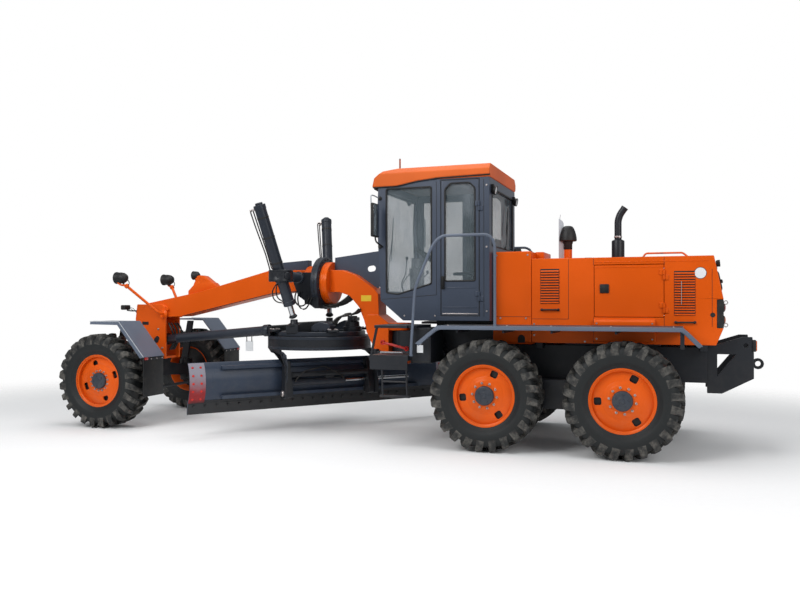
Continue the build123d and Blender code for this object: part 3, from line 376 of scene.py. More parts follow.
class Finish:
    """A material, whose nodes all come from one method."""

    def __init__(self, name, **constants):
        self.material = bpy.data.materials.new(name)
        self.material.use_nodes = True
        self.tree = self.material.node_tree
        self.shader = self.tree.nodes["Principled BSDF"]
        for socket, value in constants.items():
            self.shader.inputs[socket.replace("_", " ")].default_value = value

    def node(self, kind, inputs=(), output=0, **settings):
        made = self.tree.nodes.new("ShaderNode" + kind)
        for name, value in settings.items():
            setattr(made, name, value)
        for slot, value in dict(inputs).items():
            self.set(made.inputs[slot], value)
        return Shade(self, made.outputs[output])

    def set(self, socket, value):
        if isinstance(value, Shade):
            self.tree.links.new(value.socket, socket)
        else:
            socket.default_value = value

    def feed(self, **sockets):
        for socket, value in sockets.items():
            self.set(self.shader.inputs[socket.replace("_", " ")], value)
        return self.material

    def place(self):
        return self.node("TexCoord", output="Object")

    def spots(self, scale, detail=3, rough=0.55):
        return self.node("TexNoise", {"Vector": self.place(), "Scale": scale, "Detail": detail,
            "Roughness": rough})

    def scratches(self, scale, stretch):
        """Noise that is drawn out along one axis."""
        drawn_out = self.node("Mapping", {"Vector": self.place(), "Scale": stretch})
        return self.node("TexNoise", {"Vector": drawn_out, "Scale": scale, "Detail": 4, "Roughness": 0.6})

    def wave(self, place, scale, way, distortion=0):
        """Soft stripes across the direction."""
        inputs = {"Vector": place, "Scale": scale, "Distortion": distortion}
        return self.node("TexWave", inputs, output="Fac", bands_direction=way)

    def band(self, value, low, high):
        """0 below low and 1 above high, with a soft step between; low may be the larger."""
        return self.node("MapRange", {"Value": value, "From Min": low, "From Max": high},
            interpolation_type="SMOOTHSTEP")

    def mix(self, factor, first, second):
        return self.node("Mix", {0: factor, 6: first, 7: second}, 2, data_type="RGBA")

    def height(self):
        return self.node("SeparateXYZ", {0: self.place()}, output=2)

    def facing_up(self):
        normal = self.node("NewGeometry", output="Normal")
        return self.node("SeparateXYZ", {0: normal}, output=2)

    def bump(self, height, depth, strength=1):
        return self.node("Bump", {"Height": height, "Distance": depth, "Strength": strength})


DUST = srgb(150, 138, 122)


def paint(name, colour, rough=0.34, dust=0.15, tone=0.1, coat=0.12, top=1.5, gleam=(1, 1, 1, 1)):
    """Sprayed paint: uneven tone, orange peel, dust on ledges and low down, duller where it is dusty."""
    finish = Finish(name, Coat_Roughness=0.18, Specular_IOR_Level=0.3, Specular_Tint=gleam)
    deep = scaled(colour, 1 - tone)
    pale = tuple(min(1, c * (1 + tone) + 0.004) for c in colour[:3]) + (1,)
    base = finish.mix(finish.band(finish.spots(0.9, 2), 0.35, 0.65), deep, pale)
    low = finish.band(finish.height(), top, 0.15)
    ledge = finish.band(finish.facing_up(), 0.5, 1)
    film = finish.band(finish.spots(7, 5, 0.65), 0.42, 0.75)
    dirt = (low * 0.55 + ledge * 0.35 + 0.03) * (film * 0.8 + 0.2) * dust
    peel = finish.bump(finish.spots(260, 2), 0.0006, 0.35)
    return finish.feed(Base_Color=finish.mix(dirt, base, DUST), Roughness=dirt * 0.5 + finish.spots(3) * 0.1
                       + (rough - 0.05), Coat_Weight=coat - dirt * coat, Normal=peel)


def worn_paint(name, colour, bare, amount):
    """Paint with rubbed patches of bare metal."""
    finish = Finish(name, Specular_IOR_Level=0.5)
    rub = finish.band(finish.scratches(9, (1, 1, 5)) + finish.spots(2.2) * 0.6, 1.02 - amount,
                      1.12 - amount)
    tone = finish.band(finish.spots(1.1, 2), 0.3, 0.7)
    base = finish.mix(tone, scaled(colour, 0.88), colour)
    scoured = finish.mix(finish.spots(40, 5), scaled(bare, 0.6), bare)
    return finish.feed(Base_Color=finish.mix(rub, base, scoured),
                       Metallic=rub * 0.7, Roughness=0.42 - rub * 0.08 + finish.spots(6) * 0.12,
                       Normal=finish.bump(finish.scratches(60, (1, 1, 8)), 0.0008, 0.4))


def end_bit(name, pale, red, black):
    """A blade's end: bare at the top, red towards the middle and black low down, with rubbed streaks."""
    finish = Finish(name, Specular_IOR_Level=0.3)
    shift = finish.spots(6, 4) * 0.16 - 0.08
    height = finish.height() + shift
    upper = finish.mix(finish.band(height, 0.8, 0.56), pale, red)
    base = finish.mix(finish.band(height, 0.52, 0.4), upper, black)
    streaks = finish.band(finish.scratches(30, (1, 1, 6)), 0.55, 0.8) * 0.25
    return finish.feed(Base_Color=finish.mix(streaks, base, pale), Roughness=0.5 - streaks * 0.3,
                       Normal=finish.bump(finish.scratches(60, (1, 1, 8)), 0.0006, 0.3))


def bright_metal(name, colour, rough=0.22):
    finish = Finish(name, Metallic=1.0)
    grain = finish.scratches(45, (1, 1, 14))
    tone = finish.mix(grain, scaled(colour, 0.8), colour)
    return finish.feed(Base_Color=tone, Roughness=grain * 0.14 + rough,
                       Normal=finish.bump(grain, 0.0003, 0.3))


def moulded(name, colour, rough=0.5, dust=0.3):
    """Moulded plastic or hose rubber with a fine grain."""
    finish = Finish(name, Specular_IOR_Level=0.4)
    film = finish.band(finish.spots(9, 5), 0.4, 0.8) * dust
    base = finish.mix(finish.spots(5), scaled(colour, 0.8), scaled(colour, 1.2))
    return finish.feed(Base_Color=finish.mix(film, base, DUST),
                       Roughness=film * 0.4 + finish.spots(30) * 0.15 + (rough - 0.07),
                       Normal=finish.bump(finish.spots(420, 2), 0.0008, 0.5))


def rubber(name, colour, earth, cover):
    """Tyre rubber with dried earth in its grain."""
    finish = Finish(name, Specular_IOR_Level=0.35)
    patches = finish.band(finish.spots(11, 6, 0.7), 0.62 - cover, 0.95 - cover)
    base = finish.mix(finish.spots(3), scaled(colour, 0.8), scaled(colour, 1.25))
    return finish.feed(Base_Color=finish.mix(patches, base, earth), Roughness=patches * 0.25 + 0.58,
                       Normal=finish.bump(finish.spots(120, 4) + finish.spots(900, 2) * 0.3, 0.0015, 0.5))


def glazing(name, colour, clear):
    """Tinted glass with a faint film of dust."""
    finish = Finish(name, Roughness=0.04, Specular_IOR_Level=0.6)
    film = finish.band(finish.spots(2.4, 4), 0.35, 0.8)
    return finish.feed(Base_Color=finish.mix(film, colour, srgb(150, 158, 166)), Alpha=film * 0.12 + clear)


def lens(name, colour, ribs):
    """A lamp's moulded glass, with ribs."""
    finish = Finish(name, Roughness=0.12, Specular_IOR_Level=0.7, Coat_Weight=0.6)
    wave = finish.wave(finish.place(), ribs, "Z")
    tone = finish.mix(wave, scaled(colour, 0.6), colour)
    return finish.feed(Base_Color=tone, Normal=finish.bump(wave, 0.002, 0.6))


THREADS, BARS, WIRES = 160, 12, 48


def cloth(name, colour):
    """Woven seat cloth."""
    finish = Finish(name, Sheen_Weight=0.35, Specular_IOR_Level=0.2)
    warp = finish.wave(finish.place(), THREADS, "Y", 0.4)
    weft = finish.wave(finish.place(), THREADS, "Z", 0.4)
    weave = warp * weft
    tone = finish.mix(weave, scaled(colour, 0.65), scaled(colour, 1.3))
    return finish.feed(Base_Color=tone, Roughness=0.9 - weave * 0.1, Normal=finish.bump(weave, 0.001, 0.5))


def chequer(name, colour):
    """Tread plate: raised diagonal bars, worn bright on top, with dust between them."""
    finish = Finish(name, Specular_IOR_Level=0.35)
    turned_place = finish.node("Mapping", {"Vector": finish.place(), "Rotation": (0, 0, math.radians(45))})
    along = finish.wave(turned_place, BARS, "X")
    across = finish.wave(turned_place, BARS, "Y")
    bars = finish.band(along * (1 - across) + across * (1 - along), 0.62, 0.8)
    dust = finish.band(finish.spots(5, 5, 0.6), 0.45, 0.75) * 0.35
    base = finish.mix(bars * 0.35, colour, srgb(110, 112, 116))
    return finish.feed(Base_Color=finish.mix(dust, base, DUST), Roughness=dust * 0.3 + 0.5 - bars * 0.1,
                       Normal=finish.bump(bars, 0.003, 0.8))


def screen(name, colour):
    """A fine woven screen, with the gaps between its wires painted darker as shade."""
    finish = Finish(name, Specular_IOR_Level=0.3, Metallic=0.4)
    across = finish.wave(finish.place(), WIRES, "Y")
    upward = finish.wave(finish.place(), WIRES, "Z")
    wires = across * upward
    # Painted shade: the gaps between the wires get 0.4 of the colour, as the dark seen through the screen.
    tone = finish.mix(wires, scaled(colour, 0.4), scaled(colour, 2.2))
    return finish.feed(Base_Color=tone, Roughness=0.75 - wires * 0.2, Normal=finish.bump(wires, 0.002, 0.7))


WARM = (1, 0.6, 0.3, 1)
ORANGE = paint("orange_paint", srgb(217, 84, 6), coat=0.1, dust=0.12, tone=0.06, gleam=WARM)
ROOF = paint("roof_paint", srgb(203, 92, 40), rough=0.5, coat=0, gleam=WARM)
BLUE_GREY = paint("blue_grey_paint", srgb(55, 64, 80), rough=0.38)
GREY = paint("grey_paint", srgb(88, 97, 112), rough=0.42)
BLACK_PAINT = paint("frame_paint", srgb(19, 23, 30), rough=0.46, dust=0.12)
RIM_PAINT = paint("rim_paint", srgb(216, 86, 12), rough=0.38, dust=0.2, top=0.9, gleam=WARM)
BLUE_GREY_DARK = paint("cylinder_paint", srgb(34, 40, 50), rough=0.36)
HUB_PAINT = paint("hub_paint", srgb(44, 51, 61), rough=0.42)
LIGHT_GREY = paint("light_grey_paint", srgb(168, 172, 178), rough=0.4)
RED = paint("red_paint", srgb(190, 30, 22), rough=0.38)
WORN_ORANGE = worn_paint("worn_orange", srgb(214, 92, 30), srgb(120, 116, 112), 0.1)
BLADE_PAINT = paint("blade_paint", srgb(40, 52, 70), rough=0.42, dust=0.14)
END_BIT = end_bit("worn_end_bit", srgb(132, 128, 138), srgb(142, 34, 36), srgb(34, 33, 35))
WORN_STEEL = worn_paint("cutting_edge_steel", srgb(27, 28, 31), srgb(56, 56, 58), 0.1)
CHROME = bright_metal("cylinder_rod_chrome", srgb(205, 208, 212), 0.12)
ZINC = bright_metal("zinc_bolts", srgb(188, 180, 178), 0.34)
IRON = paint("engine_iron", srgb(46, 48, 52), rough=0.55, coat=0, dust=0.3)
BLACK_PLASTIC = moulded("black_plastic", srgb(18, 19, 21), 0.5, 0.06)
HOSE = moulded("hose_rubber", srgb(15, 16, 18), 0.52, 0.1)
SIDEWALL = rubber("tyre_sidewall", srgb(23, 26, 27), srgb(56, 56, 54), 0.06)
TREAD = rubber("tyre_tread", srgb(33, 34, 34), srgb(98, 95, 90), 0.23)
GLASS = glazing("window_glass", srgb(104, 116, 122), 0.3)
MIRROR = bright_metal("mirror_glass", srgb(200, 206, 212), 0.03)
CLEAR_LENS = lens("clear_lens", srgb(206, 212, 216), 60)
RED_LENS = lens("red_lens", srgb(180, 26, 20), 50)
AMBER_LENS = lens("amber_lens", srgb(232, 110, 26), 50)
SEAT_CLOTH = cloth("seat_cloth", srgb(44, 48, 56))
WHITE_LABEL = paint("white_label", srgb(224, 226, 228), rough=0.4, dust=0.1, tone=0.03)
YELLOW_LABEL = paint("yellow_label", srgb(222, 184, 40), rough=0.4, tone=0.05)
GLOSS_BLACK = paint("screen_black", srgb(14, 15, 18), rough=0.12, dust=0.05, coat=0.6)
CREAM = moulded("roof_cloth", srgb(150, 150, 146), 0.8, 0.1)
CHEQUER = chequer("tread_plate", srgb(52, 56, 62))
CORE = screen("radiator_screen", srgb(30, 32, 35))


def done(piece, material=BLACK_PLASTIC, body=REAR, stands_for=()):
    """Gives the piece its finish and its body, which for most are black plastic and the rear unit."""
    piece.data.materials.clear()
    piece.data.materials.append(material)
    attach(piece, body)
    if stands_for:
        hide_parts(*([stands_for] if isinstance(stands_for, str) else stands_for))
    return piece


def body_of(node):
    return frame["nodes"][node].parent.name.removeprefix("body:")


def skin(node, material, bevel):
    """A merged copy of a solid with rounded edges stands for it."""
    solid = frame["nodes"][node]
    piece = bpy.data.objects.new(node + "_skin", solid.data.copy())
    bpy.context.scene.collection.objects.link(piece)
    with Edit(piece) as edit:
        bpy.ops.mesh.remove_doubles(threshold=MERGE)
        edit.all()
        bpy.ops.mesh.dissolve_limited(angle_limit=FLAT)
    modify(piece, "BEVEL", width=bevel, segments=2, limit_method="ANGLE", angle_limit=math.radians(30),
           use_clamp_overlap=False)
    smooth(piece, 40)
    modify(piece, "WEIGHTED_NORMAL", keep_sharp=True)
    return done(piece, material, body_of(node), node)


for node, material, bevel in (
    ("rear_frame", BLACK_PAINT, 0.006),
    ("rear_axle", BLACK_PAINT, 0.008),
    ("rear_hitch", BLACK_PAINT, 0.005),
    ("hood", ORANGE, 0.008),
    ("hood_door_left", ORANGE, 0.004),
    ("hood_door_right", ORANGE, 0.004),
    ("radiator_guard", BLACK_PAINT, 0.003),
    ("engine_block", IRON, 0.01),
    ("tank_box", ORANGE, 0.012),
    ("walkways", GREY, 0.004),
    ("cab_shell", BLUE_GREY, 0.006),
    ("cab_roof", ROOF, 0.012),
    ("cab_door_left", BLUE_GREY, 0.004),
    ("cab_door_right", BLUE_GREY, 0.004),
    ("console", BLACK_PLASTIC, 0.006),
    ("steps", BLACK_PAINT, 0.004),
    ("front_frame", ORANGE, 0.008),
    ("hose_guard", BLUE_GREY, 0.003),
    ("saddle", BLACK_PAINT, 0.006),
    ("front_axle", BLACK_PAINT, 0.008),
    ("knuckle_left", BLACK_PAINT, 0.006),
    ("knuckle_right", BLACK_PAINT, 0.006),
    ("drawbar", BLACK_PAINT, 0.006),
    ("circle", BLACK_PAINT, 0.005),
    ("blade_carrier", BLACK_PAINT, 0.005),
    ("moldboard", BLADE_PAINT, 0.004),
):
    skin(node, material, bevel)

PLAIN = {
    "exhaust_stack": BLACK_PAINT, "air_precleaner": BLACK_PLASTIC, "cab_glass": GLASS, "door_glass": GLASS,
    "seat": SEAT_CLOTH, "handrails": GREY, "mirrors": BLACK_PLASTIC, "lamps": BLACK_PLASTIC,
    "tail_lamps": BLACK_PLASTIC, "art_barrel": BLUE_GREY, "art_rod": CHROME, "lift_barrel": BLACK_PAINT,
    "lift_rod": CHROME, "tie_rod": BLACK_PAINT,
}
for name, solid in frame["nodes"].items():
    for start, material in PLAIN.items():
        if name.startswith(start):
            solid.data.materials.clear()
            solid.data.materials.append(material)

# Wheels: each part is built round the world's origin with its outer side towards +Y, then copied

LUGS = 24
LUG_SLANT = math.tan(math.radians(24))


def wheel_place(wheel, hand, turn):
    facing = 0 if hand == "left" else math.pi
    return (Matrix.Translation(middle(f"tyre_{wheel}_{hand}")) @ Matrix.Rotation(facing, 4, "Z")
            @ Matrix.Rotation(turn, 4, "Y"))


def around(count, start=0):
    """Equal turns round the wheel's axle."""
    return [Matrix.Rotation(start + TAU * step / count, 4, "Y") for step in range(count)]


def lug(row):
    """One bar of the tread: from the middle of the tyre over the shoulder, where it thickens."""
    sections = []
    for out, foot, crest, width in ((0.004, 0.58, 0.634, 0.046), (0.01, 0.58, 0.644, 0.052),
            (0.11, 0.58, 0.6455, 0.06), (0.172, 0.56, 0.643, 0.066), (0.203, 0.53, 0.624, 0.072),
            (0.2195, 0.505, 0.572, 0.08)):
        shift = (out - 0.11) * LUG_SLANT
        base = width / 2 + 0.006
        sections.append([Vector((shift - base, row * out, foot)), Vector((shift + base, row * out, foot)),
            Vector((shift + width / 2, row * out, crest)), Vector((shift - width / 2, row * out, crest))])
    return lofted("lug", sections)


CARCASS = [(0.172, 0.362), (0.18, 0.372), (0.182, 0.384), (0.19, 0.392), (0.196, 0.398), (0.2, 0.412),
           (0.204, 0.414), (0.213, 0.44), (0.2195, 0.475), (0.2195, 0.505), (0.215, 0.535), (0.203, 0.562),
           (0.18, 0.584), (0.15, 0.594), (0.1, 0.601), (0.0, 0.604)]
carcass_line = CARCASS + [(-out, radius) for out, radius in CARCASS[-2::-1]] + [CARCASS[0]]
carcass = turned("carcass", ORIGIN, Y, carcass_line, 96, 50)
tread = joined("tread", [spread("lugs", lug(1), around(LUGS)),
    spread("lugs", lug(-1), around(LUGS, TAU / LUGS / 2))])

BARREL = [(-0.174, 0.35), (-0.174, 0.358), (-0.168, 0.3645), (-0.158, 0.3645), (-0.15, 0.36), (0.15, 0.36),
          (0.158, 0.3645), (0.169, 0.3645), (0.174, 0.359), (0.1745, 0.352), (0.17, 0.347), (0.16, 0.346),
          (0.156, 0.341), (0.152, 0.331), (0.146, 0.328), (0.14, 0.331), (0.134, 0.334), (0.112, 0.336),
          (-0.16, 0.342), (-0.174, 0.35)]
DISH = capped((0.086, 0.225), (0.104, 0.225), (0.112, 0.205), (0.114, 0.185), (0.119, 0.176),
              (0.121, 0.168))
DISC_IN, DISC_OUT, DISC_R = 0.086, 0.106, 0.337
DISH_FACE = 0.12


def disc(holes):
    rim = arc(Vector((0, DISC_IN, 0)), X, Z, DISC_R, 0, 360, 72)[:-1]
    return plate("disc", rim, Y * (DISC_OUT - DISC_IN), holes, 0.004)


def spoked(degrees, radius):
    turn = math.radians(degrees)
    return Vector((math.cos(turn) * radius, DISC_IN, math.sin(turn) * radius)), turn


def hand_hole(degrees, radius, width, height, corner):
    centre, turn = spoked(degrees, radius)
    out = Vector((math.cos(turn), 0, math.sin(turn)))
    return rounded(centre, out, Vector((-math.sin(turn), 0, math.cos(turn))), width, height, corner)


def nut(radius, count, start):
    """Wheel nuts on their washers with the stud's end."""
    seed = turned("nut", Vector((0, DISH_FACE, radius)), Y, capped((0, 0.0155), (0.003, 0.0155),
        (0.004, 0.0125), (0.018, 0.0125), (0.021, 0.01), (0.021, 0.006), (0.03, 0.005)), 6, 20)
    return spread("nuts", seed, around(count, start))


def rim(name, holes):
    barrel = turned("barrel", ORIGIN, Y, BARREL, 80)
    return joined(name, [barrel, turned("dish", ORIGIN, Y, DISH, 64), disc(holes)])


rear_rim = rim("rear_rim", [hand_hole(degrees, 0.268, 0.082, 0.086, 0.022) for degrees in (60, 180, 300)])
front_holes = [hand_hole(degrees, 0.252, 0.07, 0.1, 0.02) for degrees in (0, 180)]
front_holes += [arc(spoked(degrees, 0.252)[0], X, Z, 0.042, 0, 360, 20)[:-1] for degrees in (90, 270)]
front_rim = rim("front_rim", front_holes)
HUB = capped((0.119, 0.113), (0.146, 0.112), (0.156, 0.106), (0.16, 0.096), (0.161, 0.046), (0.163, 0.042),
             (0.163, 0.03), (0.168, 0.027), (0.1695, 0.022))
hub = turned("hub", ORIGIN, Y, HUB, 48, 25)
plug = turned("plug", Vector((0, 0.158, 0.072)), Y, capped((0, 0.011), (0.007, 0.011), (0.009, 0.009)), 6,
              20)
hub_cap = joined("hub_cap", [hub] + [copied(plug, "plug", turn) for turn in around(5)])
bpy.data.objects.remove(plug)
rear_nuts, front_nuts = nut(0.146, 10, TAU / 20), nut(0.138, 14, 0)
drum = turned("drum", ORIGIN, Y, capped((0.01, 0.318), (0.016, 0.324), (0.06, 0.324), (0.066, 0.318)), 56)
for hand in HANDS:
    for wheel, turn, disc_and_rim, nuts in (("rear", 1.1, rear_rim, rear_nuts),
            ("mid", 1.16, rear_rim, rear_nuts), ("front", 0.35, front_rim, front_nuts)):
        place = wheel_place(wheel, hand, turn)
        name = f"{wheel}_{hand}"
        body = body_of("tyre_" + name)
        done(copied(carcass, "tyre_side_" + name, place), SIDEWALL, body, "tyre_" + name)
        done(copied(tread, "tyre_tread_" + name, place), TREAD, body)
        done(copied(disc_and_rim, "wheel_disc_" + name, place), RIM_PAINT, body, "rim_" + name)
        done(copied(hub_cap, "hub_cap_" + name, place), HUB_PAINT, body)
        done(copied(nuts, "wheel_nuts_" + name, place), ZINC, body)
        done(copied(drum, "brake_drum_" + name, place), body=body)
for seed in (drum, carcass, tread, rear_rim, front_rim, hub_cap, rear_nuts, front_nuts):
    bpy.data.objects.remove(seed)

# Cylinders, saddle and drawbar


def hexagon(name, centre, way, across_flats, height):
    """A bolt head with a washer."""
    radius = across_flats / math.sqrt(3)
    return turned(name, centre, way, capped((0, radius * 1.25), (0.002, radius * 1.25), (0.002, radius),
        (height - 0.002, radius), (height, radius * 0.86)), 6, 25)


def bolts(name, places, way, body, size=0.022, height=0.014, material=ZINC):
    """Bolt heads at the places, all facing one way."""
    seed = hexagon(name, places[0], way, size, height)
    piece = spread(name, seed, [Matrix.Translation(place - places[0]) for place in places])
    return done(piece, material, body)


def both(make):
    """Calls the maker for each side with its name, its sign and a function that puts a point there."""
    for name, hand in HANDS.items():
        make(name, hand, lambda x, y, z: at(x, y * hand, z))


def for_both(side, node):
    """The left piece stands for a node that holds both sides."""
    return node if side == "left" else ()


LIFT_FOOT, TRUNNION = (3.54, 0.57, 1.5), (3.643, 0.75, 2.08)
LINE_R = 0.0085
LIFT_BARREL = capped((1.53, 0.0395), (0.2, 0.0395), (0.2, 0.072), (0.204, 0.08), (0.262, 0.08),
                     (0.268, 0.075), (0.54, 0.075), (0.55, 0.088), (0.565, 0.098), (0.667, 0.098),
                     (0.682, 0.088), (0.692, 0.0755), (1.53, 0.0755), (1.533, 0.08), (1.586, 0.08),
                     (1.59, 0.077), (1.59, 0.05), (1.614, 0.049), (1.619, 0.045))


def lift_cylinder(side, hand, spot):
    foot, trunnion = spot(*LIFT_FOOT), spot(*TRUNNION)
    along = (trunnion - foot).normalized()
    front = (X - along * along.x).normalized()
    aside = along.cross(front)
    barrel, rod_body = f"lift_barrel_{side}", f"lift_rod_{side}"
    done(turned(f"lift_cylinder_{side}", foot, along, LIFT_BARREL, 48), BLUE_GREY_DARK,
         body_of(barrel), barrel)
    way = Vector((-(trunnion - foot).y, (trunnion - foot).x, 0)).normalized()
    pins = [rod("pin", trunnion + way * sign * 0.08, trunnion + way * sign * 0.114, 0.0252)
            for sign in (1, -1)]
    done(joined(f"trunnion_pins_{side}", pins), ZINC, body_of(barrel))

    def beside(far, out, across=0.0):
        return foot + along * far + front * out + aside * across

    lines = []
    for across, low in ((0.034, 0.7), (-0.018, 0.725)):
        lines.append(pipe("line", [beside(1.545, 0.07, across), beside(1.545, 0.128, across * 1.4),
            beside(1.3, 0.122, across * 1.3), beside(0.95, 0.105, across), beside(low, 0.112, across),
            beside(low - 0.012, 0.085, across)], LINE_R, 0.03))
    lines.append(pipe("loop", [beside(0.53, 0.082), beside(0.5, 0.13), beside(0.43, 0.2),
        beside(0.33, 0.215), beside(0.27, 0.17), beside(0.255, 0.1), beside(0.242, 0.07)], LINE_R, 0.035))
    lines.append(pipe("loop", [beside(0.53, 0.06, 0.05), beside(0.44, 0.105, 0.06),
        beside(0.34, 0.12, 0.05), beside(0.27, 0.078, 0.01)], LINE_R, 0.035))
    done(joined(f"lift_lines_{side}", lines), HOSE, body_of(barrel))
    blocks = [turned("fitting", beside(1.545, 0.06, across), front, [(0, 0), (0, 0.017),
        (0.02, 0.017), (0.022, 0.013), (0.045, 0.013), (0.047, 0.016), (0.075, 0.016), (0.077, 0)], 6, 20)
              for across in (0.036, -0.02)]
    blocks += [turned("fitting", beside(far, 0.06, across),
                      front, [(0, 0), (0, 0.016), (0.034, 0.016), (0.036, 0)], 6, 20)
               for far, across in ((0.712, -0.018), (0.688, 0.034), (0.53, 0.0), (0.246, 0.0))]
    done(joined(f"lift_fittings_{side}", blocks), ZINC, body_of(barrel))
    straps = [ring("strap", foot + along * far, along, 0.0785, 0.0745, 0.022, 0.001, 32)
              for far in (0.8, 1.15, 1.42)]
    done(joined(f"lift_straps_{side}", straps), body=body_of(barrel))
    gap = 0.0165
    lower = capped((gap, 0.03), (gap + 0.012, 0.05), (gap + 0.018, 0.056), (gap + 0.032, 0.056),
                   (gap + 0.038, 0.048), (gap + 0.048, 0.045), (gap + 0.052, 0.04))
    done(turned(f"lift_foot_{side}", foot, along, lower), BLACK_PAINT, body_of(rod_body))
    shaft = rod(f"lift_shaft_{side}", foot + along * (gap + 0.05), foot + along * 1.15, 0.038, 0.003, 32)
    done(shaft, CHROME, body_of(rod_body), rod_body)


def art_cylinder(side, hand, spot):
    start, end = spot(1.48, 0.525, 1.06), spot(2.45, 0.335, 1.06)
    along, reach = (end - start).normalized(), (end - start).length
    barrel, rod_body = f"art_barrel_{side}", f"art_rod_{side}"
    tube = turned("tube", start, along, capped((0.1, 0.0275), (0.56, 0.0275), (0.56, 0.046),
        (0.556, 0.0495), (0.512, 0.0495), (0.508, 0.046), (0.075, 0.046), (0.07, 0.0495), (0.03, 0.0495),
        (0.026, 0.044)))
    boss = ring("boss", start, Z, 0.05, 0.026, 0.098, 0.004, 32)
    done(joined(f"art_cylinder_{side}", [tube, boss]), BLUE_GREY_DARK, body_of(barrel), barrel)
    done(rod(f"art_pins_{side}", start - Z * 0.058, start + Z * 0.058, 0.0262, 0.004, 20), ZINC,
         body_of(barrel))
    done(rod(f"art_shaft_{side}", start + along * 0.28, end - along * 0.03, 0.027, 0.002, 28), CHROME,
         body_of(rod_body), rod_body)
    head = joined(f"art_head_{side}", [ring("eye", end, Z, 0.045, 0.022, 0.098, 0.004, 32),
        rod("pin", end - Z * 0.052, end + Z * 0.052, 0.0222, 0.003, 20),
        rod("neck", end - along * 0.075, end - along * 0.034, 0.034)])
    done(head, BLACK_PAINT, body_of(rod_body))


both(lift_cylinder)
both(art_cylinder)

NECK = at(0, 0, 1.998)
FLANGE = [(3.1945, 0.1), (3.1945, 0.284), (3.2, 0.2915), (3.228, 0.2915), (3.234, 0.286), (3.236, 0.272),
          (3.246, 0.268), (3.252, 0.272), (3.256, 0.286), (3.262, 0.2915), (3.298, 0.2915), (3.304, 0.286),
          (3.304, 0.1)]
done(turned("neck_flange", NECK, X, FLANGE, 72), ORANGE, FRONT)
RING = [(3.3045, 0.245), (3.3045, 0.35), (3.311, 0.3605), (3.34, 0.3605), (3.344, 0.357), (3.366, 0.357),
        (3.37, 0.3605), (3.4, 0.3605), (3.407, 0.352), (3.407, 0.245)]
done(turned("saddle_ring", NECK, X, RING, 80), BLUE_GREY_DARK, FRONT)
neck_face = [(3.39, 0.2402), (3.57, 0.2402), (3.576, 0.236), (3.576, 0.1)]
done(turned("neck_end", NECK, X, neck_face, 64), ORANGE, FRONT)
saddle_bolts = arc(NECK + X * 3.3035, Y, Z, 0.328, 0, 360, 24)[:-1]
bolts("saddle_bolts", saddle_bolts, -X, FRONT, 0.02, 0.012, BLACK_PAINT)


def saddle_arm(side, hand, spot):
    trunnion = spot(*TRUNNION)
    yoke = turned(f"yoke_{side}", trunnion, Z, [(-0.0765, 0.1195), (-0.0765, 0.156), (-0.07, 0.1615),
        (-0.04, 0.1615), (-0.034, 0.158), (0.034, 0.158), (0.04, 0.1615), (0.07, 0.1615), (0.0765, 0.156),
        (0.0765, 0.1195), (0.07, 0.1155), (-0.07, 0.1155), (-0.0765, 0.1195)], 56)
    done(yoke, BLACK_PAINT, FRONT)
    root = spot(3.6, 0.28, 2.07)
    tip = spot(TRUNNION[0], 0.612, TRUNNION[2])
    way = tip - root
    far = way.length
    arm = turned(f"saddle_arm_{side}", root, way, [(0, 0), (0, 0.074), (0.012, 0.08),
        (0.046, 0.08), (0.052, 0.064), (far * 0.45, 0.064), (far * 0.45 + 0.006, 0.07), (far * 0.62, 0.07),
        (far * 0.62 + 0.006, 0.078), (far - 0.03, 0.079), (far - 0.016, 0.074), (far - 0.01, 0)], 48)
    done(arm, HUB_PAINT, FRONT)
    way = Vector((-(hand * 0.18), 0.103, 0)).normalized()
    caps = [turned("cap", trunnion + way * sign * 0.15, way * sign,
                   capped((0, 0.048), (0.02, 0.048), (0.028, 0.04), (0.03, 0.022)), 28) for sign in (1, -1)]
    done(joined(f"yoke_caps_{side}", caps), BLACK_PAINT, FRONT)
    cheek_bolts = [spot(x, 0.301, z) for x, z in ((3.36, 1.78), (3.46, 1.82), (3.56, 1.87), (3.63, 2.02),
        (3.36, 2.1), (3.62, 2.1))]
    bolts(f"cheek_bolts_{side}", cheek_bolts, Y * hand, FRONT, 0.024, 0.014, BLACK_PAINT)


both(saddle_arm)

NOSE_Z = 1.17
NOSE = at(6.029, 0, NOSE_Z)


def drawbar_tube(side, hand, spot):
    start, end = spot(6.009, 0.04, NOSE_Z), spot(3.98, 0.43, 1.345)
    way = end - start
    far = way.length
    tube = turned(f"drawbar_tube_{side}", start,
                  way, capped((0.06, 0.058), (0.09, 0.0655), (0.3, 0.0655), (0.306, 0.069), (0.35, 0.069),
        (0.356, 0.0655), (far - 0.11, 0.0655), (far - 0.09, 0.082), (far - 0.01, 0.082), (far, 0.076)), 40)
    done(tube, BLUE_GREY_DARK, DRAWBAR)
    stud = turned(f"lift_stud_{side}", spot(*LIFT_FOOT) - Z * 0.09, Z, [(0, 0), (0, 0.09), (0.012, 0.09),
        (0.02, 0.066), (0.04, 0.052), (0.0895, 0.0485), (0.0897, 0)])
    done(stud, BLACK_PAINT, DRAWBAR)


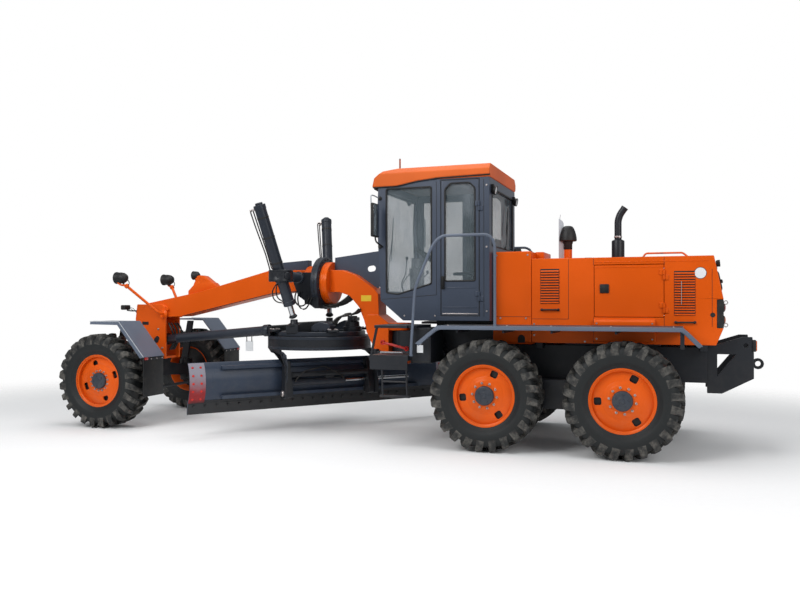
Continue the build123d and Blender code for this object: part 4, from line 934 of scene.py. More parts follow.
both(drawbar_tube)
done(ring("drawbar_nose", NOSE, Y, 0.0885, 0.042, 0.222, 0.006, 40), BLACK_PAINT, DRAWBAR)
done(rod("drawbar_pin", NOSE - Y * 0.199, NOSE + Y * 0.199, 0.0405, 0.005, 32), BLACK_PAINT, FRONT)
TABLE = at(3.43, 0, 0)
done(ring("drawbar_table", TABLE + Z * 1.3, Z, 0.6405, 0.415, 0.0605, 0.006, 112), BLUE_GREY_DARK, DRAWBAR)
CIRCLE = [(1.0895, 0.584), (1.0895, 0.714), (1.096, 0.7205), (1.128, 0.7205), (1.134, 0.712),
          (1.226, 0.712), (1.232, 0.7205), (1.264, 0.7205), (1.2695, 0.714), (1.2695, 0.584), (1.264, 0.58),
          (1.096, 0.58), (1.0895, 0.584)]
done(turned("circle_band", TABLE, Z, CIRCLE, 112), BLUE_GREY_DARK, "circle")
tooth = block("tooth", TABLE + Vector((-0.012, 0.56, 1.13)), TABLE + Vector((0.012, 0.583, 1.2)), 0.003, 1)
turns = [about(TABLE, "Z", TAU * step / 64) for step in range(64)]
done(spread("circle_teeth", tooth, turns), WORN_STEEL, "circle")
SHOE_TOP = 1.362
for turn in (50, 130, 230, 310):
    place = about(TABLE, "Z", math.radians(turn))
    shoe = block(f"circle_shoe_{turn}", TABLE + Vector((0.6, -0.075, 1.3305)),
                 TABLE + Vector((0.74, 0.075, SHOE_TOP)), 0.006)
    shoe.data.transform(place)
    done(shoe, BLACK_PAINT, DRAWBAR)
    bolts(f"shoe_bolts_{turn}", [place @ (TABLE + Vector((x, y, SHOE_TOP))) for x in (0.63, 0.71)
        for y in (-0.045, 0.045)], Z, DRAWBAR, 0.026)
motor = [turned("gear", at(2.93, 0.0, 1.33), Z, capped((0, 0.125),
    (0.01, 0.13), (0.06, 0.13), (0.07, 0.1), (0.13, 0.095), (0.14, 0.07), (0.2, 0.068), (0.21, 0.06)), 40),
         block("motor_port", at(2.86, -0.1, 1.47), at(2.92, 0.1, 1.52), 0.01)]
done(joined("circle_motor", motor), BLACK_PAINT, DRAWBAR)


# Hood, tank and what stands on them

HOOD_Y, HOOD_TOP = 0.6, 2.2525


def face(x, z, proud=0.0, hand=1):
    """A point on the hood's side."""
    return at(x, (HOOD_Y + proud) * hand, z)


def louvre_panel(name, hand, rear, front, low, high, slats):
    # Painted shade: the thin black plate behind the slats stands for the dark behind the louvre openings.
    done(block(f"{name}_back", face(rear - 0.004, low - 0.004, -0.002, hand),
               face(front + 0.004, high + 0.004, 0.0012, hand), 0.0005, 1))
    pitch = (high - low) / slats
    sections = [[face(x, low + up, proud, hand) for proud, up in ((0.0005, 0), (0.0125, 0.001),
        (0.0145, 0.005), (0.0005, pitch * 0.62))] for x in (rear, front)]
    slat = soften(lofted(f"{name}_slats", sections), 0.0015, 1)
    done(spread(f"{name}_slats", slat, [Matrix.Translation(Z * pitch * step) for step in range(slats)]),
         ORANGE)


def bar_handle(name, start, end, out, body=REAR, radius=0.01, reach=0.03):
    """A bent bar with a round foot at each end."""
    grip = pipe(name, [start, start + out * reach, end + out * reach, end], radius, 0.012)
    feet = [turned("foot", place, out, capped((0, radius * 1.7), (0.006, radius * 1.7),
        (0.009, radius * 1.2)), 20) for place in (start, end)]
    done(joined(name, [grip] + feet), body=body)


def seams(name, lines, body=REAR, radius=0.0024):
    """The dark gaps between panels."""
    done(joined(name, [pipe("seam", list(line), radius, 0, sides=2) for line in lines]), body=body)


HOOD_SEAMS = [((-0.109, 1.527), (-0.109, 2.236)), ((0.325, 1.527), (-0.109, 1.527)),
              ((-0.4, 1.25), (-0.4, 1.552)), ((-0.4, 2.163), (-0.4, 2.24)),
              ((-1.189, 1.44), (-1.189, 1.552)), ((-1.189, 2.163), (-1.189, 2.24)),
              ((0.345, 1.552), (0.795, 1.552)), ((-1.7, 1.45), (-1.7, 2.1))]


def hood_side(side, hand, spot):
    def on(x, z, proud=0.0):
        return face(x, z, proud, hand)
    out = Y * hand
    louvre_panel(f"front_louvre_{side}", hand, 0.004, 0.219, 1.714, 2.122, 13)
    louvre_panel(f"rear_louvre_{side}", hand, -1.519, -1.3, 1.578, 2.077, 17)
    bar_handle(f"front_handle_{side}", on(0.01, 1.637), on(0.206, 1.637), out)
    bar_handle(f"rear_handle_{side}", on(-1.517, 1.497), on(-1.313, 1.497), out)
    done(rod(f"louvre_stay_{side}", on(-1.375, 1.7, 0.016), on(-1.375, 1.965, 0.016), 0.004, 0.001, 12),
         ZINC)
    seams(f"hood_seams_{side}", [(on(*first), on(*last)) for first, last in HOOD_SEAMS])
    done(pipe(f"hood_crease_{side}", [on(-0.412, 2.196, -0.001), on(-1.663, 2.196, -0.001)], 0.006, 0),
         ORANGE)
    door = f"hood_door_{side}"
    latch = [block("latch", on(-0.577, 1.834), on(-0.473, 1.938, 0.017), 0.006, 3),
             block("paddle", on(-0.56, 1.85, 0.016), on(-0.505, 1.922, 0.0215)), turned("lock",
        on(-0.49, 1.886, 0.0165), out, capped((0, 0.009), (0.004, 0.009), (0.005, 0.007)), 20)]
    done(joined(f"door_latch_{side}", latch), body=body_of(door))
    done(pipe(f"door_ridge_{side}", [on(-0.418, 2.134, -0.001), on(-1.178, 2.134, -0.001)], 0.005, 0),
         ORANGE, body_of(door))
    rim = turned(f"sticker_rim_{side}", on(-1.577, 2.056), out,
                 [(0, 0), (0, 0.067), (0.001, 0.067), (0.001, 0)], 48)
    done(rim)
    sticker = turned(f"sticker_{side}", on(-1.577, 2.056, 0.0009), out,
                     [(0, 0), (0, 0.061), (0.0008, 0.061), (0.0008, 0)], 48)
    done(sticker, WHITE_LABEL)
    # Painted shade: a black dish stands for the dark inside the drain hole.
    done(turned(f"drain_hole_{side}", on(-1.706, 1.582), out,
                capped((0, 0.027), (0.003, 0.026), (0.003, 0.019), (0.001, 0.018)), 28))
    done(pipe(f"top_rail_{side}", [spot(x, 0.5, z)
        for x, z in ((-0.954, 2.25), (-0.984, 2.294), (-1.388, 2.294), (-1.44, 2.25))], 0.011, 0.02),
         WORN_ORANGE)
    bolts(f"tank_bolts_{side}", [on(x, z) for x, z in ((0.712, 1.533), (0.399, 1.533), (0.3, 1.465),
        (0.3, 1.332), (-0.3, 1.262), (0.76, 2.3), (0.378, 2.3))], out, REAR, 0.018, 0.008)
    bolts(f"panel_bolts_{side}", [spot(x, 0.655, z)
        for x, z in ((-1.06, 1.3), (-0.44, 1.3), (-1.06, 1.48), (-0.44, 1.48))], out, REAR, 0.016, 0.007)
    # Painted shade: a thin black plate stands for the dark inside the frame's slot.
    slot = arc(on(0.4555, 1.29), X, Z, 0.043, 0, 180, 12)
    done(plate(f"frame_slot_{side}", [on(0.4985, 1.236)] + slot + [on(0.4125, 1.236)], out * 0.0015,
               (), 0.0003, 1))
    for kind, z, glass in (("stop", 1.665, RED_LENS), ("turn", 1.525, AMBER_LENS)):
        lens_line = [(-0.02, 0), (-0.02, 0.051), (-0.0125, 0.051), (-0.0135, 0.045), (0.002, 0.04),
                     (0.008, 0.028), (0.011, 0.012), (0.0115, 0)]
        done(turned(f"{kind}_lens_{side}", spot(-1.833, 0.5275, z), -X, lens_line, 40), glass)
    for index, z in enumerate((1.722, 1.47)):
        loop = arc(spot(-1.842, 0.59, z), X, Z, 0.02, 0, 330, 11)
        done(pipe(f"tail_eye_{side}_{index}", loop, 0.0055, 0, closed=True), ZINC)
    bracket = block("bracket", spot(-1.752, 0.46, 2.12), spot(-1.728, 0.43, 2.17), 0.003)
    tilt = -X + Z * 0.1
    body = turned("body", spot(-1.745, 0.445, 2.165), tilt, [(0, 0), (0, 0.028), (0.012, 0.038),
        (0.04, 0.04), (0.044, 0.036), (0.04, 0.033), (0.038, 0)], 28)
    done(joined(f"rear_lamp_{side}", [bracket, body]))
    slope_bar = pipe("bar", [spot(x, 0.47, z) for x, z in ((-1.745, 2.08), (-1.768, 2.06), (-1.806, 1.88),
        (-1.796, 1.855))], 0.009, 0.015)
    knob = turned("knob", spot(-1.79, 0.47, 1.96), -X + Z * 0.2,
                  capped((0, 0.022), (0.02, 0.022), (0.026, 0.015)), 24)
    done(joined(f"slope_bar_{side}", [slope_bar, knob]))
    done(turned(f"rear_lamp_glass_{side}", spot(-1.7835, 0.445, 2.169), tilt,
                capped((0, 0.032), (0.003, 0.028), (0.005, 0.012)), 24), CLEAR_LENS)


both(hood_side)
skin("tail_lamps", BLACK_PLASTIC, 0.006)
seams("hood_top_seams", [(at(x, -0.585, HOOD_TOP), at(x, 0.585, HOOD_TOP))
    for x in (-0.109, -0.4, -1.189)] + [(at(-0.4, 0, HOOD_TOP), at(-1.7, 0, HOOD_TOP))])
done(block("filler_box", at(0.235, -0.27, 2.25), at(0.345, 0.27, 2.352), 0.012, 3), ORANGE)
lids = [turned("lid", at(x, y, z), Z, capped((0, 0.062), (0.01, 0.062), (0.014, 0.052), (0.026, 0.052),
    (0.03, 0.044)), 36) for x, y, z in ((0.56, 0.3, 2.3445), (-0.24, -0.3, 2.2515))]
lids += [block("grip", at(x - 0.045, y - 0.008, z), at(x + 0.045, y + 0.008, z + 0.022))
         for x, y, z in ((0.56, 0.3, 2.372), (-0.24, -0.3, 2.279))]
done(joined("filler_lids", lids))
# Its screen finish paints the gaps between the wires darker as shade.
done(block("radiator_core", at(-1.705, -0.435, 1.345), at(-1.69, 0.435, 2.085)), CORE)
bar_handle("grille_handle", at(-1.812, -0.1, 1.7), at(-1.812, 0.1, 1.7), -X, REAR, 0.009, 0.028)
guard_bolts = [at(-1.8125, y, z) for y in (-0.4225, 0.4225) for z in (1.46, 1.6, 1.73)]
bolts("guard_bolts", guard_bolts, -X, REAR, 0.018, 0.009)

stack = at(-0.635, 0, 0)
base = [(2.2515, 0), (2.2515, 0.098), (2.258, 0.098), (2.262, 0.079), (2.3, 0.077), (2.476, 0.077),
        (2.486, 0.074), (2.492, 0.062), (2.5, 0.046), (2.51, 0)]
done(turned("exhaust_base", stack, Z, base, 48), BLACK_PAINT, REAR, "exhaust_stack")
pipe_end = stack + Vector((-0.078, 0, 2.885))
done(pipe("exhaust_pipe", [stack + Z * 2.49, stack + Z * 2.775, pipe_end], 0.043, 0.07, sides=12),
     BLACK_PAINT)
done(turned("exhaust_tip", pipe_end, Vector((-0.078, 0, 0.11)),
            capped((-0.004, 0.0445), (0.01, 0.0445), (0.012, 0.043), (0.012, 0.039), (-0.001, 0.038)), 36),
     IRON)
done(joined("exhaust_clamp", [ring("band", stack + Z * 2.532, Z, 0.0475, 0.0425, 0.024, 0.002, 40),
    rod("bolt", stack + Vector((-0.02, 0.054, 2.532)), stack + Vector((0.03, 0.054, 2.532)), 0.006,
        0.001, 8)]), ZINC)

intake = at(-0.024, 0, 0)
bell = [(2.385, 0), (2.385, 0.047), (2.395, 0.053), (2.455, 0.053), (2.47, 0.06), (2.492, 0.062),
        (2.494, 0.1), (2.502, 0.108), (2.52, 0.109), (2.56, 0.104), (2.615, 0.09), (2.655, 0.074),
        (2.677, 0.058), (2.687, 0.036), (2.69, 0)]
done(turned("precleaner_bell", intake, Z, bell, 56), BLACK_PLASTIC, REAR, "air_precleaner")
neck = capped((2.2515, 0.066), (2.257, 0.066), (2.26, 0.051), (2.388, 0.051))
done(turned("precleaner_neck", intake, Z, neck, 40), ORANGE)
fins = block("fins", intake + Vector((-0.003, 0.06, 2.496)), intake + Vector((0.003, 0.106, 2.53)), 0.001,
             1)
done(spread("precleaner_fins", fins, [about(intake, "Z", TAU * step / 24) for step in range(24)]))
post = [(0.03, 2.2515), (0.03, 2.722), (0.044, 2.752), (0.08, 2.782), (0.092, 2.782), (0.092, 2.2515)]
done(plate("intake_post", [at(x, -0.006, z) for x, z in post], Y * 0.012), LIGHT_GREY)
done(rod("intake_whisker", at(0.078, 0, 2.775), at(0.07, 0, 2.835), 0.0035, 0.001, 8), LIGHT_GREY)

# Rear hitch: lamps on the ears
for side, hand in HANDS.items():
    done(block(f"hitch_lamp_{side}", at(-2.168, 0.395 * hand, 1.165),
               at(-2.128, 0.315 * hand, 1.298), 0.007, 3))
    done(block(f"hitch_lens_{side}", at(-2.178, 0.389 * hand, 1.175), at(-2.16, 0.321 * hand, 1.288), 0.006,
               3), AMBER_LENS)


# Cab

CAB_Y = 0.76


def gasket(name, points, body=REAR):
    """A rubber strip round a window."""
    done(pipe(name, points, 0.01, 0.02, closed=True, sides=3), body=body)


DOOR_PANE = [(0.99, 1.99), (0.99, 3.12), (1.06, 3.19), (1.3, 3.19), (1.37, 3.12), (1.37, 1.99)]
SIDE_PANE = [(1.545, 1.96), (1.545, 3.16), (2.14, 3.16), (2.14, 1.85), (1.98, 1.83)]


def cab_side(side, hand, spot):
    door = f"cab_door_{side}"
    out = Y * hand
    gasket(f"door_gasket_{side}", [spot(x, CAB_Y, z) for x, z in DOOR_PANE], body_of(door))
    gasket(f"side_gasket_{side}", [spot(x, CAB_Y, z) for x, z in SIDE_PANE])
    seams(f"door_seal_{side}", [(spot(x, CAB_Y, 1.565), spot(x, CAB_Y, 3.225)) for x in (0.9385, 1.4215)]
          + [(spot(0.94, CAB_Y, z), spot(1.42, CAB_Y, z)) for z in (1.5635, 3.2315)], radius=0.005)
    done(block(f"door_sill_{side}", spot(0.955, CAB_Y - 0.002, 1.58), spot(1.405, CAB_Y + 0.0035, 1.594),
               0.0015), ZINC, body_of(door))
    bar_handle(f"door_handle_{side}", spot(1.393, CAB_Y + 0.02, 1.905), spot(1.393, CAB_Y + 0.02, 2.035),
               out, body_of(door), 0.008, 0.024)
    done(block(f"door_lock_{side}", spot(1.374, CAB_Y, 1.89), spot(1.412, CAB_Y + 0.0235, 2.05), 0.006, 3),
         body=body_of(door))
    ribs = [block("rib", spot(0.968, CAB_Y - 0.001, z), spot(1.392, CAB_Y + 0.004, z + 0.012), 0.0018)
            for z in (1.9, 1.66)]
    done(joined(f"door_ribs_{side}", ribs), BLUE_GREY, body_of(door))
    seams(f"cab_seams_{side}", [(spot(1.48, CAB_Y, 1.82), spot(1.48, CAB_Y, 3.22)),
        (spot(1.48, CAB_Y, 1.82), spot(2.205, CAB_Y, 1.765)),
        (spot(0.88, CAB_Y, 1.55), spot(0.88, CAB_Y, 3.22))], radius=0.003)
    bolts(f"cab_bolts_{side}", [spot(x, CAB_Y, z)
        for x, z in ((0.845, 1.62), (0.845, 2.4), (0.845, 3.15), (1.5, 1.56), (1.9, 1.56))], out, REAR,
          0.018, 0.008)
    shell = block(f"mirror_shell_{side}", spot(2.199, 0.849, 2.539), spot(2.241, 1.061, 2.961), 0.019, 4)
    hoop = pipe(f"mirror_hoop_{side}", [spot(2.235, CAB_Y - 0.01, 3.045), spot(2.262, 0.9, 3.07),
        spot(2.262, 0.985, 3.06), spot(2.255, 0.985, 2.85), spot(2.225, 0.965, 2.82)], 0.0085, 0.03)
    low_arm = pipe("arm", [spot(2.22, 0.955, 2.6), spot(2.215, 0.945, 2.49), spot(2.2, 0.88, 2.46),
        spot(2.19, CAB_Y - 0.01, 2.43)], 0.01, 0.03)
    clamps = [turned("clamp", spot(2.225, CAB_Y - 0.002, z),
                     out, capped((0, 0.026), (0.01, 0.026), (0.016, 0.016), (0.03, 0.015)), 24)
              for z in (3.045, 2.432)]
    done(joined(f"mirror_{side}", [shell, low_arm] + clamps), BLACK_PLASTIC, REAR,
         for_both(side, "mirrors"))
    done(hoop, LIGHT_GREY)
    done(block(f"mirror_glass_{side}", spot(2.1965, 0.865, 2.556), spot(2.2005, 1.045, 2.944), 0.0018),
         MIRROR)
    lamp_at, tilt = spot(0.79, 0.64, 3.1), -X - Z * 0.2
    body = turned("body", lamp_at, tilt, [(-0.022, 0), (-0.022, 0.034), (0.006, 0.052), (0.034, 0.056),
        (0.04, 0.054), (0.036, 0.049), (0.034, 0)])
    bracket = block("bracket", spot(0.812, 0.615, 3.075), spot(0.78, 0.665, 3.17))
    done(joined(f"cab_lamp_{side}", [body, bracket]))
    done(turned(f"cab_lamp_glass_{side}", lamp_at, tilt,
                [(0.03, 0), (0.03, 0.048), (0.036, 0.044), (0.041, 0.02), (0.042, 0)], 28), CLEAR_LENS)
    lamp_at, tilt = spot(2.285, 0.56, 3.145), X - Z * 0.25
    body = turned(f"front_lamp_{side}", lamp_at, tilt,
                  [(-0.018, 0), (-0.018, 0.03), (0.0, 0.043), (0.02, 0.046), (0.026, 0.042), (0.02, 0)], 28)
    done(body)
    done(turned(f"front_lamp_glass_{side}", lamp_at, tilt,
                capped((0.018, 0.039), (0.024, 0.034), (0.029, 0.014)), 24), CLEAR_LENS)
    # Painted shadow: a black strip along the cab side under the roof's edge stands for the shade under the
    # eave.
    eave_shadow_strip = ((0.802, 3.276), (1.44, 3.264), (1.72, 3.238), (2.0, 3.188), (2.318, 3.188))
    done(pipe(f"eaves_{side}", [spot(x, CAB_Y + 0.006, z) for x, z in eave_shadow_strip], 0.012))


both(cab_side)
done(rod("antenna", at(2.12, 0.3, 3.4), at(2.12, 0.3, 3.6195), 0.0088, 0.002, 12))
visor = [(2.246, 3.191), (2.322, 3.191), (2.318, 3.166), (2.246, 3.128)]
done(plate("visor_trim", [at(x, -0.735, z) for x, z in visor], Y * 1.47, (), 0.004))
gasket("front_gasket", [at(2.233, y, 1.862) for y in (-0.658, 0.658)] + [at(2.2555, 0.658, 2.76),
    at(2.2385, 0.658, 3.158), at(2.2385, -0.658, 3.158), at(2.2555, -0.658, 2.76)])
gasket("rear_gasket", [at(0.812, y, z) for y, z in ((-0.62, 2.42), (0.62, 2.42), (0.62, 3.13),
    (-0.62, 3.13))])


def wiper(name, pivot, tip, blade_low, blade_high, out):
    parts = [turned("hub", pivot, out, capped((0, 0.02), (0.01, 0.02), (0.018, 0.012)), 20), pipe("arm",
        [pivot + out * 0.012, pivot.lerp(tip, 0.5) + out * 0.022, tip + out * 0.01], 0.0045, 0.08),
             pipe("blade", [blade_low, blade_high], 0.006, 0)]
    return done(joined(name, parts))


wiper("front_wiper", at(2.238, 0.42, 1.9), at(2.262, 0.2, 2.55), at(2.262, 0.26, 2.28),
      at(2.264, 0.16, 2.86), X)
wiper("rear_wiper", at(0.808, -0.1, 2.43), at(0.806, -0.22, 2.78), at(0.804, -0.17, 2.6),
      at(0.804, -0.29, 2.98), -X)

# Inside the cab: seat, wheel, levers, screen and mats

VOXEL = 0.014
PRESSURE, STIFFNESS, CLOTH_FRAMES = 4, 12, 14


def cushion(name, low, high, crown, tilt=None):
    """A padded form: a rounded block that pressure swells, by the crown at most."""
    piece = block(name, low, high, 0.028, 3)
    with Edit(piece):
        bpy.ops.mesh.subdivide(number_cuts=3)
    modify(piece, "REMESH", mode="VOXEL", voxel_size=VOXEL)
    rest = [vertex.co.copy() for vertex in piece.data.vertices]
    alone(piece)
    soft = piece.modifiers.new("CLOTH", "CLOTH")
    soft.settings.use_pressure = True
    soft.settings.uniform_pressure_force = PRESSURE
    soft.settings.effector_weights.gravity = 0
    soft.settings.tension_stiffness = STIFFNESS
    for step in range(1, CLOTH_FRAMES + 1):
        bpy.context.scene.frame_set(step)
    bpy.ops.object.modifier_apply(modifier=soft.name)
    for vertex, before in zip(piece.data.vertices, rest):
        move = vertex.co - before
        if move.length > crown:
            vertex.co = before + move.normalized() * crown
    modify(piece, "SUBSURF", levels=1, render_levels=1)
    if tilt:
        piece.data.transform(tilt)
    smooth(piece, 60)
    done(piece, SEAT_CLOTH)


lean = about(at(1.115, 0, 1.915), "Y", math.radians(-14))
cushion("seat_cushion", at(1.105, -0.215, 1.828), at(1.545, 0.215, 1.912), 0.012)
cushion("seat_back", at(1.02, -0.2, 1.955), at(1.11, 0.2, 2.38), 0.012, lean)
cushion("head_rest", at(1.032, -0.12, 2.41), at(1.1, 0.12, 2.56), 0.01, lean)
for side, hand in HANDS.items():
    cushion(f"arm_rest_{side}", at(1.12, 0.225 * hand, 2.07), at(1.42, 0.285 * hand, 2.115), 0.006)
shell = block("back_shell", at(0.992, -0.225, 1.9), at(1.022, 0.225, 2.58), 0.012, 3)
shell.data.transform(lean)
base = [block("pan", at(1.085, -0.235, 1.795), at(1.555, 0.235, 1.832), 0.012, 3),
        block("post", at(1.2, -0.13, 1.552), at(1.38, 0.13, 1.796), 0.01)]
base += [ring("bellows", at(1.29, 0, 1.6 + 0.045 * step), Z, 0.165, 0.1, 0.032, 0.012, 32)
         for step in range(4)]
base += [block("arm", at(1.118, 0.232 * hand, 1.98), at(1.15, 0.278 * hand, 2.075), 0.006)
         for hand in HANDS.values()]
done(joined("seat_frame", [shell] + base), BLACK_PLASTIC, REAR, "seat")

wheel_at = at(1.85, 0, 2.33)
wheel_way = Vector((-1, 0, 1.4)).normalized()
wheel_up = wheel_way.cross(Y)
grip = pipe("steering_wheel", arc(wheel_at + wheel_way * 0.0125, Y, wheel_up, 0.1775, 0, 350, 35), 0.0165,
            0, closed=True, sides=6)
boss = turned("boss", wheel_at, wheel_way, capped((-0.02, 0.03), (0.01, 0.045), (0.026, 0.04),
    (0.032, 0.028)), 28)
spokes = [pipe("spoke", [wheel_at + wheel_way * 0.008,
    wheel_at + wheel_way * 0.012 + (Y * math.cos(turn) + wheel_up * math.sin(turn)) * 0.172], 0.011, 0)
          for turn in (0.3, math.pi - 0.3, -math.pi / 2)]
done(joined("steering_wheel", [grip, boss] + spokes))


def lever(name, points):
    stick = pipe("stick", [at(*point) for point in points], 0.0065, 0.04)
    knob = turned("knob", at(*points[-1]), Z, [(-0.012, 0), (-0.012, 0.01), (0.002, 0.017), (0.02, 0.019),
        (0.034, 0.014), (0.038, 0.006), (0.039, 0)], 20)
    return done(joined(name, [stick, knob]))


for side, hand in HANDS.items():
    lever(f"lever_long_{side}", [(2.06, 0.3 * hand, 1.8), (2.11, 0.3 * hand, 1.97),
        (2.045, 0.29 * hand, 2.1), (2.03, 0.29 * hand, 2.29)])
    lever(f"lever_short_{side}", [(2.03, 0.35 * hand, 1.8), (2.08, 0.35 * hand, 1.96),
        (2.015, 0.34 * hand, 2.05), (1.945, 0.34 * hand, 2.13)])
    lever(f"lever_small_{side}", [(1.99, 0.22 * hand, 1.86), (1.985, 0.22 * hand, 2.02),
        (1.97, 0.21 * hand, 2.1)])
    done(block(f"lever_box_{side}", at(1.96, 0.17 * hand, 1.56), at(2.11, 0.4 * hand, 1.84), 0.018, 3))
done(block("screen_case", at(1.985, -0.11, 2.175), at(2.03, 0.11, 2.32), 0.01, 3))
done(block("screen_glass", at(1.982, -0.095, 2.19), at(1.986, 0.095, 2.305), 0.0015), GLOSS_BLACK)
done(block("floor_mat", at(0.87, -0.7, 1.5505), at(1.9, 0.7, 1.562)), CHEQUER)
done(block("roof_lining", at(0.865, -0.705, 3.246), at(2.19, 0.705, 3.2495), 0.0012), CREAM)
done(block("rear_shelf", at(0.862, -0.6, 2.3), at(1.0, 0.6, 2.34), 0.012))
pedals = [block("pedal", at(1.74, y - 0.035, 1.62), at(1.76, y + 0.035, 1.74), 0.006)
          for y in (-0.17, 0.17, 0.28)]
done(joined("pedals", pedals))

# Handrails, walkways and steps
RAIL_Y = 1.225


def rail(side, hand, spot):
    foot = 1.09 if side == "left" else 1.452
    tube = pipe("tube", [spot(1.655, RAIL_Y, foot), spot(1.655, RAIL_Y, foot + 0.09),
        spot(1.605, RAIL_Y, 1.9), spot(1.39, RAIL_Y, 2.4), spot(1.29, RAIL_Y, 2.51),
        spot(0.7, RAIL_Y, 2.51), spot(0.64, RAIL_Y, 2.42), spot(0.64, RAIL_Y, 1.456)], 0.0172,
                0.07, sides=6)
    feet = [turned("foot", spot(x, RAIL_Y, z), Z,
                   [(0, 0), (0, 0.024), (0.004, 0.024), (0.006, 0.02), (0.026, 0.0195), (0.028, 0)], 24)
            for x, z in ((1.655, foot), (0.64, 1.4545))]
    return done(joined(f"handrail_{side}", [tube] + feet), GREY, REAR, for_both(side, "handrails"))


both(rail)


def walk(side, hand, spot):
    done(block(f"walk_tread_{side}", spot(-1.385, 0.672, 1.4545), spot(1.32, 1.196, 1.4575), 0.001, 1),
         CHEQUER)
    edge = [spot(x, 1.2265, z) for x, z in ((1.575, 1.234), (1.325, 1.433), (-1.39, 1.433),
        (-1.567, 1.253))]
    done(pipe(f"walk_edge_{side}", edge, 0.0245, sides=7), GREY)
    posts = [block("post", spot(-1.407, 1.15, 1.225), spot(-1.363, 1.215, 1.412), 0.005)]
    posts += [block("brace", spot(x - 0.012, 0.6, 1.375), spot(x + 0.012, 1.2, 1.411), 0.003)
              for x in (-1.38, -0.7, 0.0, 0.55, 1.1)]
    done(joined(f"walk_braces_{side}", posts), BLACK_PAINT)
    bolts(f"walk_bolts_{side}", [spot(x, 1.222, 1.4572) for x in (-1.3, -0.65, 0.0, 0.5, 1.2)], Z, REAR,
          0.018, 0.008)


both(walk)
done(block("step_tread", at(1.698, 0.79, 1.0895), at(2.182, 1.232, 1.093), 0.001, 1), CHEQUER)
for side, hand in HANDS.items():
    done(block(f"deck_tread_{side}", at(1.708, 0.7 * hand, 1.4515), at(2.112, 1.232 * hand, 1.455), 0.001,
               1), CHEQUER)
ladder = [pipe("stile", [at(x, RAIL_Y, 0.935), at(x - 0.004, RAIL_Y, 0.78), at(x - 0.009, RAIL_Y, 0.602)],
               0.012) for x in (2.025, 1.715)]
ladder += [pipe("rung", [at(2.022, RAIL_Y, 0.78), at(1.712, RAIL_Y, 0.78)], 0.011, 0),
           block("tread", at(1.668, 1.189, 0.589), at(2.052, 1.241, 0.617), 0.006),
           pipe("post", [at(2.09, RAIL_Y, 1.428), at(2.165, RAIL_Y, 1.085)], 0.0165, 0)]
done(joined("ladder", ladder), BLACK_PAINT)
teeth = block("cleat", at(1.69, 1.195, 0.6165), at(1.698, 1.235, 0.6205), 0.001, 1)
done(spread("ladder_cleats", teeth, [Matrix.Translation(X * 0.034 * step) for step in range(11)]),
     BLACK_PAINT)
lid = [(at(1.46, 1.1305, z), at(1.67, 1.1305, z)) for z in (1.02, 1.4)]
lid += [(at(x, 1.1305, 1.02), at(x, 1.1305, 1.4)) for x in (1.46, 1.67)]
seams("box_seams", lid, radius=0.003)
for side, hand in HANDS.items():
    done(block(f"cab_apron_{side}", at(0.808, 0.43 * hand, 1.19), at(1.475, 0.437 * hand, 1.497), 0.002, 1),
         BLACK_PAINT)
done(block("white_label", at(1.535, 1.1295, 1.125), at(1.612, 1.1318, 1.217), 0.0008, 1), WHITE_LABEL)

# Lock bar of the frame joint
lock = rod("bar", at(2.25, 0.6, 1.211), at(1.93, 0.6, 1.139), 0.016, 0.004, 20)
eyes = [ring("eye", at(x, 0.6, z), Y, 0.032, 0.013, 0.034, 0.004, 28)
        for x, z in ((2.252, 1.212), (1.926, 1.138))]
done(joined("lock_bar", [lock] + eyes), RED)


# Front end: fenders, lamps, tower fittings


def front_fender(side, hand, spot):
    node = f"front_fender_{side}"
    body = body_of(node)

    def across(name, outline, inner, outer):
        return lofted(name, [[spot(x, y, z) for x, z in outline] for y in (inner, outer)])

    line = [(6.349, 1.462), (6.349, 1.47), (5.864, 1.47), (5.456, 0.99), (5.47, 0.98), (5.876, 1.448),
            (6.33, 1.448)]
    top = soften(across("top", line, 0.781, 1.239))
    skirt_line = [(6.34, 1.462), (6.349, 1.428), (5.892, 1.422), (5.515, 0.972), (5.466, 0.99),
                  (5.87, 1.462)]
    skirt = soften(across("skirt", skirt_line, 1.232, 1.24), 0.0015, 1)
    done(joined(f"fender_top_{side}", [top, skirt]), GREY, body, node)
    fold = pipe(f"fender_fold_{side}", [spot(6.345, 1.18, 1.4705), spot(5.866, 1.18, 1.4705),
        spot(5.461, 1.18, 0.994)], 0.004, 0.01)
    edge = pipe(f"fender_edge_{side}", [spot(6.346, 1.2385, 1.468), spot(5.866, 1.2385, 1.468),
        spot(5.459, 1.2385, 0.99)], 0.005, 0.01)
    done(edge, LIGHT_GREY, body)
    done(fold, GREY, body)
    done(block(f"fender_flap_{side}", spot(5.466, 0.792, 0.451), spot(5.478, 1.228, 1.0), 0.003), body=body)
    done(block(f"flap_clamp_{side}", spot(5.461, 0.792, 0.945), spot(5.467, 1.228, 0.975), 0.0015),
         BLACK_PAINT, body)
    bolts(f"flap_bolts_{side}", [spot(5.461, 0.83 + 0.12 * step, 0.96) for step in range(4)], -X, body,
          0.016, 0.008)
    done(block(f"fender_reflector_{side}", spot(5.448, 1.15, 0.95), spot(5.462, 1.215, 0.985), 0.003),
         RED_LENS, body)


both(front_fender)


